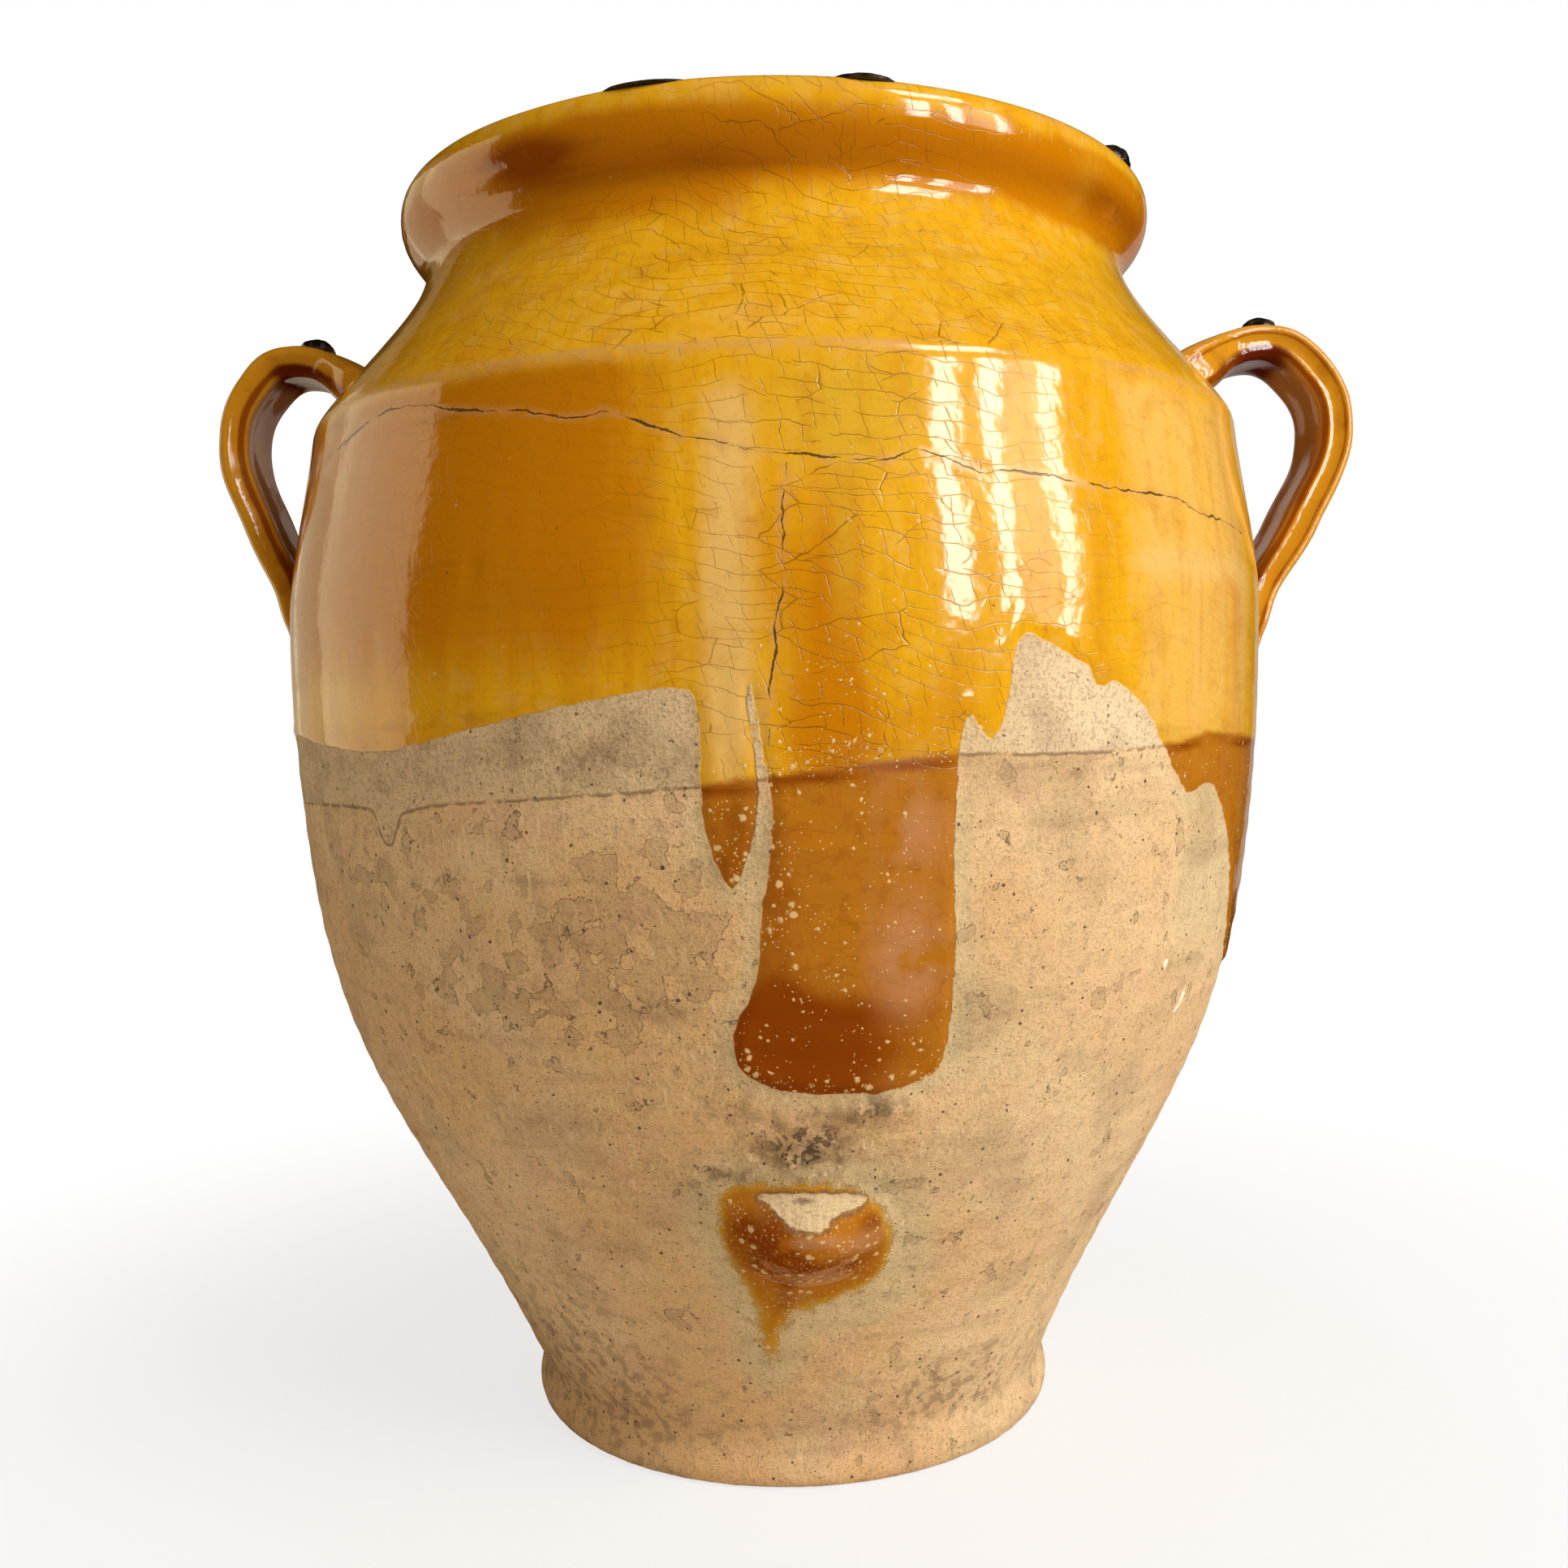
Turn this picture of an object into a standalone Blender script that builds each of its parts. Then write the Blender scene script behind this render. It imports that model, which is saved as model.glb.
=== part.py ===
# A two-handled earthenware grease pot: the thrown body, two pulled strap handles,
# and the lumps that the kiln left on rim, handles and front.
# Metres, +Z up. The origin is the centre of the flat base, and the handles lie along X.

import math

import bmesh
import bpy
from mathutils import Euler, Matrix, Vector
from mathutils.geometry import interpolate_bezier

# Body radii
FOOT_RADIUS = 0.0689
WAIST_RADIUS = 0.0677
BELLY_RADIUS = 0.1250
RIDGE_RADIUS = 0.1186
NECK_RADIUS = 0.0907
LIP_RADIUS = 0.0970

# Body rises: each is the height of its own stretch, from the ground up
FOOT_RISE = 0.0038
WAIST_RISE = 0.0078
TAPER_RISE = 0.1934
WALL_RISE = 0.0460
SHOULDER_RISE = 0.0417
LIP_RISE = 0.0125
CREST_RISE = 0.0048

# Walls
WALL_THICKNESS = 0.0075
FLOOR_THICKNESS = 0.0100
FLOOR_CORNER = 0.0120
BASE_EDGE = 0.0019
RIM_WIDTH = 0.0120
CREST_SETBACK = 0.0041
INNER_LIP_DROP = 0.0050

# Leans of the profile, in degrees outward from straight up
TAPER_LEAN = 23.0
RIDGE_LEAN = -6.0
SHOULDER_LEAN = -34.5
BASE_EDGE_LEAN = 75.0
WAIST_LEAN = 8.0
NECK_FLARE_LEAN = 10.0

# Fullness of each run of the profile: how far its curve follows the lean at its lower end
# and at its upper end, as shares of the run's length
BASE_EDGE_FULLNESS = (0.30, 0.40)
FOOT_FULLNESS = (0.35, 0.35)
TAPER_FULLNESS = (0.41, 0.57)
WALL_FULLNESS = (0.27, 0.31)
SHOULDER_FULLNESS = (0.32, 0.22)
LIP_FULLNESS = (0.35, 0.45)
CREST_FULLNESS = (0.50, 0.50)

# Directions in the profile's plane, as leans
UP = 0.0
DOWN = 180.0
INWARD = -90.0

# Handles: a strap section swept along a loop in the XZ plane
HANDLE_WIDTH = 0.0275
STRAP_HOLLOW = 0.0012
STRAP_EDGE_POWER = 0.8
STRAP_FACE_POWER = 0.6
ROOT_ABOVE_RIDGE = 0.0130
ROOT_SINK = 0.0050
ROOT_FLARE = 1.30
TAIL_FLARE = 1.15
CROWN_SHARE = 0.56
HAUNCH_SHARE = 0.85
HAUNCH_HEIGHT_SHARE = 0.905
OUTERMOST_SHARE = 0.70
LOWER_SHARE = 0.62
LOWER_HEIGHT_SHARE = 0.52
LEFT_THICKNESS = 0.0095
LEFT_CROWN_RISE = 0.0243
LEFT_REACH = 0.0175
LEFT_TAIL_DROP = 0.0440
RIGHT_THICKNESS = 0.0108
RIGHT_CROWN_RISE = 0.0250
RIGHT_REACH = 0.0235
RIGHT_TAIL_DROP = 0.0490

# Kiln lumps on the rim's crest: bearing from the front towards the right, length along
# the rim, breadth across it and height above it
RIM_LUMPS = {
    "rim_lump_left": {"bearing": -15.0, "length": 0.0270, "breadth": 0.0090, "height": 0.0016},
    "rim_lump_front": {"bearing": 12.0, "length": 0.0165, "breadth": 0.0095, "height": 0.0020},
    "rim_lump_right": {"bearing": 60.5, "length": 0.0125, "breadth": 0.0100, "height": 0.0046},
}
HANDLE_LUMP_LENGTH = 0.0130
HANDLE_LUMP_BREADTH = 0.0100
HANDLE_LUMP_HEIGHT = 0.0042
LEFT_LUMP_SETBACK = 0.0040
RIGHT_LUMP_SETBACK = 0.0000

# Kiln scar on the front: a fused boss with a broken face at its top
SCAR_HEIGHT = 0.0690
SCAR_BEARING = 2.0
SCAR_WIDTH = 0.0370
SCAR_LENGTH = 0.0290
SCAR_PROUD = 0.0075
SCAR_BREAK_TILT = 86.0
SCAR_BREAK_STANDOFF = 0.0076

# Fit and fineness
FIT_GAP = 0.0003
MERGE = 0.00002
TURN_STEPS = 88
HANDLE_RESOLUTION = 8
STRAP_SIDES = 20
LUMP_STEPS = 2
SCAR_STEPS = 3

# Heights of the stations, summed from the rises
WAIST_HEIGHT = FOOT_RISE + WAIST_RISE
BELLY_HEIGHT = WAIST_HEIGHT + TAPER_RISE
RIDGE_HEIGHT = BELLY_HEIGHT + WALL_RISE
NECK_HEIGHT = RIDGE_HEIGHT + SHOULDER_RISE
LIP_HEIGHT = NECK_HEIGHT + LIP_RISE
POT_HEIGHT = LIP_HEIGHT + CREST_RISE


def makeCollection(name):
    collection = bpy.data.collections.new(name)
    bpy.context.scene.collection.children.link(collection)
    return collection


def makeMaterial(name, colour, roughness):
    material = bpy.data.materials.new(name)
    material.use_nodes = True
    shader = material.node_tree.nodes["Principled BSDF"]
    shader.inputs["Base Color"].default_value = (*colour, 1.0)
    shader.inputs["Roughness"].default_value = roughness
    shader.inputs["Metallic"].default_value = 0.0
    material.diffuse_color = (*colour, 1.0)
    return material


def addObject(name, data, collection):
    thing = bpy.data.objects.new(name, data)
    collection.objects.link(thing)
    return thing


def hideCutter(thing):
    thing.hide_render = True
    thing.display_type = "WIRE"
    return thing


def heading(lean):
    """Unit direction in the profile's (radius, height) plane, lean degrees outward from up."""
    return Vector((math.sin(math.radians(lean)), math.cos(math.radians(lean))))


def smoothRun(start, startLean, end, endLean, fullness, count):
    """Points of a smooth run between two stations of the profile, without the first one."""
    start, end = Vector(start), Vector(end)
    reach = (end - start).length
    leave = start + heading(startLean) * reach * fullness[0]
    arrive = end - heading(endLean) * reach * fullness[1]
    points = interpolate_bezier(start.to_3d(), leave.to_3d(), arrive.to_3d(), end.to_3d(), count + 1)
    return [Vector((p.x, p.y)) for p in points[1:]]


def outerProfile():
    """The outside, from the edge of the base up to the crest of the rim."""
    points = [Vector((FOOT_RADIUS - BASE_EDGE, 0.0))]
    foot = (FOOT_RADIUS, FOOT_RISE)
    waist = (WAIST_RADIUS, WAIST_HEIGHT)
    belly = (BELLY_RADIUS, BELLY_HEIGHT)
    ridge = (RIDGE_RADIUS, RIDGE_HEIGHT)
    neck = (NECK_RADIUS, NECK_HEIGHT)
    lip = (LIP_RADIUS, LIP_HEIGHT)
    crest = (LIP_RADIUS - CREST_SETBACK, POT_HEIGHT)
    points += smoothRun(points[0], BASE_EDGE_LEAN, foot, UP, BASE_EDGE_FULLNESS, 3)
    points += smoothRun(foot, UP, waist, WAIST_LEAN, FOOT_FULLNESS, 2)
    points += smoothRun(waist, TAPER_LEAN, belly, UP, TAPER_FULLNESS, 12)
    points += smoothRun(belly, UP, ridge, RIDGE_LEAN, WALL_FULLNESS, 4)
    points += smoothRun(ridge, SHOULDER_LEAN, neck, UP, SHOULDER_FULLNESS, 6)
    points += smoothRun(neck, NECK_FLARE_LEAN, lip, UP, LIP_FULLNESS, 3)
    points += smoothRun(lip, UP, crest, INWARD, CREST_FULLNESS, 3)
    return points


def shifted(points, distance):
    """The points moved square to their run, outward on a run that climbs the outside."""
    moved = []
    for i, point in enumerate(points):
        before = points[max(i - 1, 0)]
        after = points[min(i + 1, len(points) - 1)]
        along = (after - before).normalized()
        moved.append(point + Vector((along.y, -along.x)) * distance)
    return moved


def innerProfile(crest):
    """The inside, from the crest of the rim down to the edge of the floor."""
    cornerHeight = FLOOR_THICKNESS + FLOOR_CORNER
    taperWall = WALL_THICKNESS / math.cos(math.radians(TAPER_LEAN))
    innerLip = (LIP_RADIUS - RIM_WIDTH, POT_HEIGHT - INNER_LIP_DROP)
    throat = (NECK_RADIUS - WALL_THICKNESS, NECK_HEIGHT)
    ridge = (RIDGE_RADIUS - WALL_THICKNESS, RIDGE_HEIGHT - WALL_THICKNESS)
    belly = (BELLY_RADIUS - WALL_THICKNESS, BELLY_HEIGHT)
    corner = (wallRadius(cornerHeight) - taperWall, cornerHeight)
    floorEdge = (corner[0] - FLOOR_CORNER, FLOOR_THICKNESS)
    points = smoothRun(crest, INWARD, innerLip, DOWN, CREST_FULLNESS, 3)
    points += smoothRun(innerLip, DOWN, throat, DOWN, LIP_FULLNESS[::-1], 2)
    points += smoothRun(throat, DOWN, ridge, DOWN + SHOULDER_LEAN, SHOULDER_FULLNESS[::-1], 3)
    points += smoothRun(ridge, DOWN + RIDGE_LEAN, belly, DOWN, WALL_FULLNESS[::-1], 3)
    points += smoothRun(belly, DOWN, corner, DOWN + TAPER_LEAN, TAPER_FULLNESS[::-1], 9)
    points += smoothRun(corner, DOWN + TAPER_LEAN, floorEdge, INWARD, CREST_FULLNESS, 4)
    return points


def wallRadius(height):
    """Radius of the outside at a height."""
    outer = outerProfile()
    for low, high in zip(outer, outer[1:]):
        if low.y <= height <= high.y:
            share = (height - low.y) / (high.y - low.y)
            return low.x + (high.x - low.x) * share
    return outer[-1].x


def turned(name, profile, collection):
    """Revolve a profile that climbs the outside; it is stored running down its outer side."""
    mesh = bpy.data.meshes.new(name)
    bm = bmesh.new()
    verts = [bm.verts.new((p.x, 0.0, p.y)) for p in reversed(profile)]
    for a, b in zip(verts, verts[1:]):
        bm.edges.new((a, b))
    bm.to_mesh(mesh)
    bm.free()
    thing = addObject(name, mesh, collection)
    screw = thing.modifiers.new("turn", "SCREW")
    screw.axis = "Z"
    screw.angle = math.tau
    screw.steps = TURN_STEPS
    screw.render_steps = TURN_STEPS
    screw.use_merge_vertices = True
    screw.merge_threshold = MERGE
    screw.use_smooth_shade = True
    return thing


def makeBody(collection):
    outer = outerProfile()
    inner = innerProfile(outer[-1])
    baseCentre = Vector((0.0, 0.0))
    floorCentre = Vector((0.0, FLOOR_THICKNESS))
    return turned("pot_body", [baseCentre, *outer, *inner, floorCentre], collection)


def makeBodyCutter(collection):
    """The body's outside, filled to its axis and grown by the fit gap."""
    outer = shifted(outerProfile(), FIT_GAP)
    bottom = Vector((0.0, -FIT_GAP))
    top = Vector((0.0, POT_HEIGHT + FIT_GAP))
    return hideCutter(turned("body_cutter", [bottom, *outer, top], collection))


def strapSection(width, thickness):
    """A strap's outline: rounded edges, and a shallow hollow along each face.

    The powers square the outline up from an ellipse, which has a power of 1 both ways.
    """
    points = []
    for i in range(STRAP_SIDES):
        angle = math.tau * i / STRAP_SIDES
        across = math.copysign(abs(math.cos(angle)) ** STRAP_EDGE_POWER, math.cos(angle))
        through = math.copysign(abs(math.sin(angle)) ** STRAP_FACE_POWER, math.sin(angle))
        hollow = STRAP_HOLLOW * (1 - across * across) ** 2
        points.append((width / 2 * across, (thickness / 2 - hollow) * through))
    return points


def handleKnots(side, crownRise, reach, tailDrop):
    """The loop's centre line: root, crown, haunch, outermost point, lower run and tail."""
    rootHeight = RIDGE_HEIGHT + ROOT_ABOVE_RIDGE
    crownHeight = RIDGE_HEIGHT + crownRise
    tailHeight = RIDGE_HEIGHT - tailDrop
    rootRadius = wallRadius(rootHeight)
    outRadius = BELLY_RADIUS + reach
    tailRadius = wallRadius(tailHeight)
    outHeight = tailHeight + (crownHeight - tailHeight) * OUTERMOST_SHARE
    haunchHeight = tailHeight + (crownHeight - tailHeight) * HAUNCH_HEIGHT_SHARE
    lowerHeight = tailHeight + (outHeight - tailHeight) * LOWER_HEIGHT_SHARE
    knots = [
        (rootRadius - ROOT_SINK, rootHeight, ROOT_FLARE),
        (rootRadius + (outRadius - rootRadius) * CROWN_SHARE, crownHeight, 1.0),
        (rootRadius + (outRadius - rootRadius) * HAUNCH_SHARE, haunchHeight, 1.0),
        (outRadius, outHeight, 1.0),
        (tailRadius + (outRadius - tailRadius) * LOWER_SHARE, lowerHeight, TAIL_FLARE),
        (tailRadius - ROOT_SINK, tailHeight, TAIL_FLARE),
    ]
    return [(Vector((side * radius, 0.0, height)), flare) for radius, height, flare in knots]


def sweptStrap(name, knots, thickness, growth, collection):
    """A closed strap solid along the knots, larger all round by growth."""
    section = bpy.data.curves.new(name + "_section", "CURVE")
    section.dimensions = "2D"
    outline = section.splines.new("POLY")
    sides = strapSection(HANDLE_WIDTH + 2 * growth, thickness + 2 * growth)
    outline.points.add(len(sides) - 1)
    for point, (across, through) in zip(outline.points, sides):
        point.co = (across, through, 0.0, 1.0)
    outline.use_cyclic_u = True
    sectionObject = addObject(name + "_section", section, collection)

    curve = bpy.data.curves.new(name, "CURVE")
    curve.dimensions = "3D"
    curve.resolution_u = HANDLE_RESOLUTION
    curve.bevel_mode = "OBJECT"
    curve.bevel_object = sectionObject
    curve.use_fill_caps = True
    spline = curve.splines.new("BEZIER")
    spline.bezier_points.add(len(knots) - 1)
    for point, (place, flare) in zip(spline.bezier_points, knots):
        point.co = place
        point.radius = flare
        point.handle_left_type = "AUTO"
        point.handle_right_type = "AUTO"
    strap = addObject(name + "_curve", curve, collection)

    bpy.context.view_layer.update()
    evaluated = strap.evaluated_get(bpy.context.evaluated_depsgraph_get())
    mesh = bpy.data.meshes.new_from_object(evaluated)
    mesh.name = name
    bpy.data.objects.remove(strap)
    bpy.data.objects.remove(sectionObject)
    bm = bmesh.new()
    bm.from_mesh(mesh)
    bmesh.ops.remove_doubles(bm, verts=bm.verts, dist=MERGE)
    bmesh.ops.recalc_face_normals(bm, faces=bm.faces)
    bm.to_mesh(mesh)
    bm.free()
    mesh.shade_smooth()
    return addObject(name, mesh, collection)


def cutBy(thing, cutter, label):
    cut = thing.modifiers.new(label, "BOOLEAN")
    cut.operation = "DIFFERENCE"
    cut.solver = "EXACT"
    cut.object = cutter
    return thing


def makeHandle(name, side, thickness, crownRise, reach, tailDrop, parts, cutters):
    knots = handleKnots(side, crownRise, reach, tailDrop)
    handle = sweptStrap(name, knots, thickness, 0.0, parts)
    cutBy(handle, cutters["body"], "seat_on_wall")
    grown = sweptStrap(name + "_cutter", knots, thickness, FIT_GAP, cutters["collection"])
    cutters[name] = hideCutter(grown)
    cutters[name + "_crown"] = knots[1][0]
    return handle


def pebble(name, length, breadth, height, centre, turn, fineness, collection):
    """A round-topped lump, half of which lies below the surface that carries it."""
    mesh = bpy.data.meshes.new(name)
    bm = bmesh.new()
    bmesh.ops.create_icosphere(bm, subdivisions=fineness, radius=1.0)
    size = Matrix.Diagonal((length / 2, breadth / 2, height, 1.0))
    place = Matrix.Translation(centre) @ Euler(turn).to_matrix().to_4x4() @ size
    bmesh.ops.transform(bm, matrix=place, verts=bm.verts)
    bm.to_mesh(mesh)
    bm.free()
    mesh.shade_smooth()
    return addObject(name, mesh, collection)


def makeRimLump(name, sizes, parts, cutters):
    bearing = math.radians(sizes["bearing"])
    crest = LIP_RADIUS - CREST_SETBACK
    centre = (crest * math.sin(bearing), -crest * math.cos(bearing), POT_HEIGHT)
    turn = (0.0, 0.0, bearing)
    lump = pebble(name, sizes["length"], sizes["breadth"], sizes["height"], centre, turn,
                  LUMP_STEPS, parts)
    return cutBy(lump, cutters["body"], "seat_on_rim")


def makeHandleLump(name, handle, side, thickness, setback, parts, cutters):
    """A lump on a handle's crown, set back from its crown point towards the pot."""
    crown = cutters[handle + "_crown"]
    centre = crown + Vector((-side * setback, 0.0, thickness / 2))
    length, breadth, height = HANDLE_LUMP_LENGTH, HANDLE_LUMP_BREADTH, HANDLE_LUMP_HEIGHT
    lump = pebble(name, length, breadth, height, centre, (0.0, 0.0, 0.0), LUMP_STEPS, parts)
    return cutBy(lump, cutters[handle], "seat_on_handle")


def makeScar(parts, cutters):
    """The boss on the front, laid along the wall's slope, its top broken off."""
    bearing = math.radians(SCAR_BEARING)
    radius = wallRadius(SCAR_HEIGHT)
    rise = wallRadius(SCAR_HEIGHT + SCAR_LENGTH / 2) - wallRadius(SCAR_HEIGHT - SCAR_LENGTH / 2)
    slope = math.atan2(rise, SCAR_LENGTH)
    centre = Vector((radius * math.sin(bearing), -radius * math.cos(bearing), SCAR_HEIGHT))
    turn = (math.pi / 2 + slope, 0.0, bearing)
    scar = pebble("kiln_scar", SCAR_WIDTH, SCAR_LENGTH, SCAR_PROUD, centre, turn,
                  SCAR_STEPS, parts)

    mesh = bpy.data.meshes.new("scar_break")
    bm = bmesh.new()
    bmesh.ops.create_cube(bm, size=SCAR_WIDTH * 2)
    bmesh.ops.translate(bm, verts=bm.verts, vec=(0.0, 0.0, SCAR_WIDTH))
    bm.to_mesh(mesh)
    bm.free()
    breaker = hideCutter(addObject("scar_break", mesh, cutters["collection"]))
    outward = Vector((math.sin(bearing), -math.cos(bearing), 0.0))
    breaker.location = centre + outward * SCAR_BREAK_STANDOFF
    breaker.rotation_euler = (math.radians(SCAR_BREAK_TILT), 0.0, bearing)
    cutBy(scar, breaker, "broken_face")
    return cutBy(scar, cutters["body"], "seat_on_wall")


def main():
    for thing in list(bpy.data.objects):
        bpy.data.objects.remove(thing)

    parts = makeCollection("grease_pot")
    cutters = {"collection": makeCollection("grease_pot_cutters")}

    glaze = makeMaterial("honey_glaze_on_clay", (0.566, 0.275, 0.033), 0.18)
    strapGlaze = makeMaterial("amber_glaze_on_strap", (0.402, 0.162, 0.018), 0.15)
    slag = makeMaterial("black_kiln_slag", (0.013, 0.009, 0.007), 0.25)
    scarGlaze = makeMaterial("brown_glaze_on_scar", (0.292, 0.096, 0.010), 0.22)

    body = makeBody(parts)
    body.data.materials.append(glaze)
    cutters["body"] = makeBodyCutter(cutters["collection"])

    left = makeHandle("left_handle", -1, LEFT_THICKNESS, LEFT_CROWN_RISE, LEFT_REACH,
                      LEFT_TAIL_DROP, parts, cutters)
    right = makeHandle("right_handle", 1, RIGHT_THICKNESS, RIGHT_CROWN_RISE, RIGHT_REACH,
                       RIGHT_TAIL_DROP, parts, cutters)
    for handle in (left, right):
        handle.data.materials.append(strapGlaze)

    lumps = [makeRimLump(name, sizes, parts, cutters) for name, sizes in RIM_LUMPS.items()]
    lumps.append(makeHandleLump("left_handle_lump", "left_handle", -1, LEFT_THICKNESS,
                                LEFT_LUMP_SETBACK, parts, cutters))
    lumps.append(makeHandleLump("right_handle_lump", "right_handle", 1, RIGHT_THICKNESS,
                                RIGHT_LUMP_SETBACK, parts, cutters))
    for lump in lumps:
        lump.data.materials.append(slag)

    makeScar(parts, cutters).data.materials.append(scarGlaze)


main()
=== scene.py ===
import math

import bmesh
import bpy
import numpy as np
from mathutils import Matrix, Vector, noise
from mathutils.geometry import interpolate_bezier


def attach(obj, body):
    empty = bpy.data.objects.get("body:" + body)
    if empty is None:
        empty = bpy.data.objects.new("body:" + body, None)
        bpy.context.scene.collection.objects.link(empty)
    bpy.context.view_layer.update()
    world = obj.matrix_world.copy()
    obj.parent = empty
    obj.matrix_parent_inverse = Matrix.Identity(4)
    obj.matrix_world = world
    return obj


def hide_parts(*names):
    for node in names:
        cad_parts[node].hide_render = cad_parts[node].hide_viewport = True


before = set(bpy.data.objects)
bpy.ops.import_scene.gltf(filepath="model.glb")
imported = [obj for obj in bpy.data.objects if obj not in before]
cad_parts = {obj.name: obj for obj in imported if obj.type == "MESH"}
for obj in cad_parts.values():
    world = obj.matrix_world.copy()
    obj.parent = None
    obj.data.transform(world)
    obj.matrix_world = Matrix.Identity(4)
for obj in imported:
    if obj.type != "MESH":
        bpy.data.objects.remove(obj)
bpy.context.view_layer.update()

mm = 0.001


def linear(text):  # sRGB hex to the linear colour that a shader takes
    parts = [int(text[i:i + 2], 16) / 255 for i in (1, 3, 5)]
    return (*[c / 12.92 if c <= 0.04045 else ((c + 0.055) / 1.055) ** 2.4 for c in parts], 1.0)


def addNode(tree, kind, settings=None, **links):  # links: sockets by name, or by place as s0, s1
    node = tree.nodes.new("ShaderNode" + kind)
    for name, value in (settings or {}).items():
        setattr(node, name, value)
    for name, value in links.items():
        place = int(name[1:]) if name[0] == "s" and name[1:].isdigit() else name.replace("_", " ")
        if isinstance(value, bpy.types.NodeSocket):
            tree.links.new(value, node.inputs[place])
        else:
            node.inputs[place].default_value = value
    return node


def smooth(low, high, value):
    share = np.clip((value - low) / (high - low), 0.0, 1.0)
    return share * share * (3 - 2 * share)


def hump(value, centre, width):
    return np.exp(-(((value - centre) / width) ** 2))


def heading(lean):  # direction in the profile's plane, lean degrees outward from up
    return Vector((math.sin(math.radians(lean)), math.cos(math.radians(lean))))


def noiseAt(points, size, detail=3, seed=0.0):  # about -1 to 1, features size mm across
    shift = Vector((seed * 17.3, seed * 5.1, seed * 9.7))
    return np.array([noise.fractal(Vector(p) / size + shift, 0.6, 2.0, detail) for p in points])


def keepLayer(mesh, name, values):
    layer = mesh.attributes.new(name, "FLOAT", "POINT")
    layer.data.foreach_set("value", np.ascontiguousarray(values, dtype=np.float32))


def asObject(bm, name):
    mesh = bpy.data.meshes.new(name)
    bm.to_mesh(mesh)
    bm.free()
    made = bpy.data.objects.new(name, mesh)
    bpy.context.scene.collection.objects.link(made)
    return made


def coordsOf(mesh):
    co = np.empty(len(mesh.vertices) * 3)
    mesh.vertices.foreach_get("co", co)
    return co.reshape(-1, 3)


def settle(mesh, points):  # gives the mesh its place in mm on the leaning pot
    mesh.vertices.foreach_set("co", (swayed(points) * mm).ravel())
    mesh.shade_smooth()


def freshTree(owner):  # the emptied nodes of a material or of the world
    owner.use_nodes = True
    owner.node_tree.nodes.clear()
    return owner.node_tree


# Turned profile of the pot: radius and height of each station
potSizes = {
    "foot": (68.9, 3.8),
    "waist": (67.7, 11.6),
    "belly": (125.0, 205.0),
    "ridge": (118.6, 251.0),
    "neck": (90.7, 292.7),
    "lip": (97.0, 305.2),
    "crest": (92.9, 310.0),
    "innerLip": (85.0, 305.0),
    "baseEdge": 1.9,
    "wall": 7.5,
    "floor": 10.0,
    "floorCorner": 12.0,
    "taperLean": 23.0,
    "ridgeLean": -6.0,
    "shoulderLean": -34.5,
    "outerStep": 1.55,      # spacing of the rings outside and inside
    "innerStep": 9.0,
    "turnSteps": 360,
    "crowding": 0.35,       # how much closer the columns stand at the front
    "ridgeRounding": 2,     # smoothing passes over the shoulder ridge
    "unrollRadius": 112.0,  # at which the craze lines are laid out flat
}

# How far the real pot strays from a true turning
sway = {
    "bow": -1.93,           # the belly bows to the left
    "bowSkew": -0.12,
    "tiltSide": -1.05,      # the rim is higher at the left and at the front
    "tiltFront": 0.8,
    "tiltLift": 0.25,
    "oval": 0.35,
    "ovalTurn": 0.7,        # radians round to its long side
    "ovalFrom": 60,         # height from which it is full
    "pitch": 7.5,           # throwing rings
    "ringDepth": 0.08,
    "unevenness": 0.15,
}


def swayed(points):  # the same lean for the body and for all that sits on it
    x, y, z = points.T
    t = z / potSizes["crest"][1]
    bow = sway["bow"] * 4 * t * (1 - t) + sway["bowSkew"] * 8 * t * (1 - t) * (1 - 2 * t)
    lip = potSizes["lip"][0]
    tilt = sway["tiltLift"] + sway["tiltSide"] * x / lip - sway["tiltFront"] * y / lip
    risen = z + tilt * smooth(potSizes["neck"][1] - 12, potSizes["lip"][1], z)
    return np.stack([x + bow, y, risen], axis=1)


def ovalAt(turn, height):
    return sway["oval"] * np.cos(2 * (turn - sway["ovalTurn"])) * smooth(0, sway["ovalFrom"], height)


def roundAxis(radius, turn, height):
    return np.stack([radius * np.sin(turn), -radius * np.cos(turn), height], axis=1)


# Outlines on the outside, as bearing (degrees from the front, + to the right) and height.
# The front is the photo's. The back is more of the same.
glazeEnd = [
    (-66, 177), (-53.5, 174.5), (-45.5, 173), (-38.5, 173.5), (-27.5, 178.5), (-13.5, 184), (-8.5, 185),
    (-6.5, 184), (-6.5, 161), (-6, 154.5), (-4, 144), (-2.5, 151), (-1.2, 163), (-1.7, 174.5),
    (-2.4, 185), (-1.7, 185), (-1, 172.5), (0, 161), (-0.7, 148), (-1.5, 141), (-1.8, 127),
    (-4.5, 118), (-4.5, 113), (-4, 109), (-2, 106), (0.5, 104), (9, 103), (12.5, 104),
    (16, 106.5), (17, 110.5), (17.2, 125),
    (17, 140), (16.5, 150), (16.8, 173), (17.6, 181), (19.3, 173.5), (20.5, 174.5), (21.5, 179),
    (22.5, 194.5), (24, 194.5), (29, 189.5), (30.7, 188), (31, 184.5), (32.5, 183.5), (33.5, 186),
    (38, 180), (41, 171.5), (45.5, 160.5), (47.5, 162), (50.5, 163.5), (53, 160.5), (58.5, 148),
    (64, 126), (67, 118), (71, 116.5), (74.5, 121), (77.5, 152), (80, 170), (86, 178),
]
runsBehind = [(122, 42, 7), (181, 68, 12), (244, 30, 6)]    # bearing, depth and half width
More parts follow.
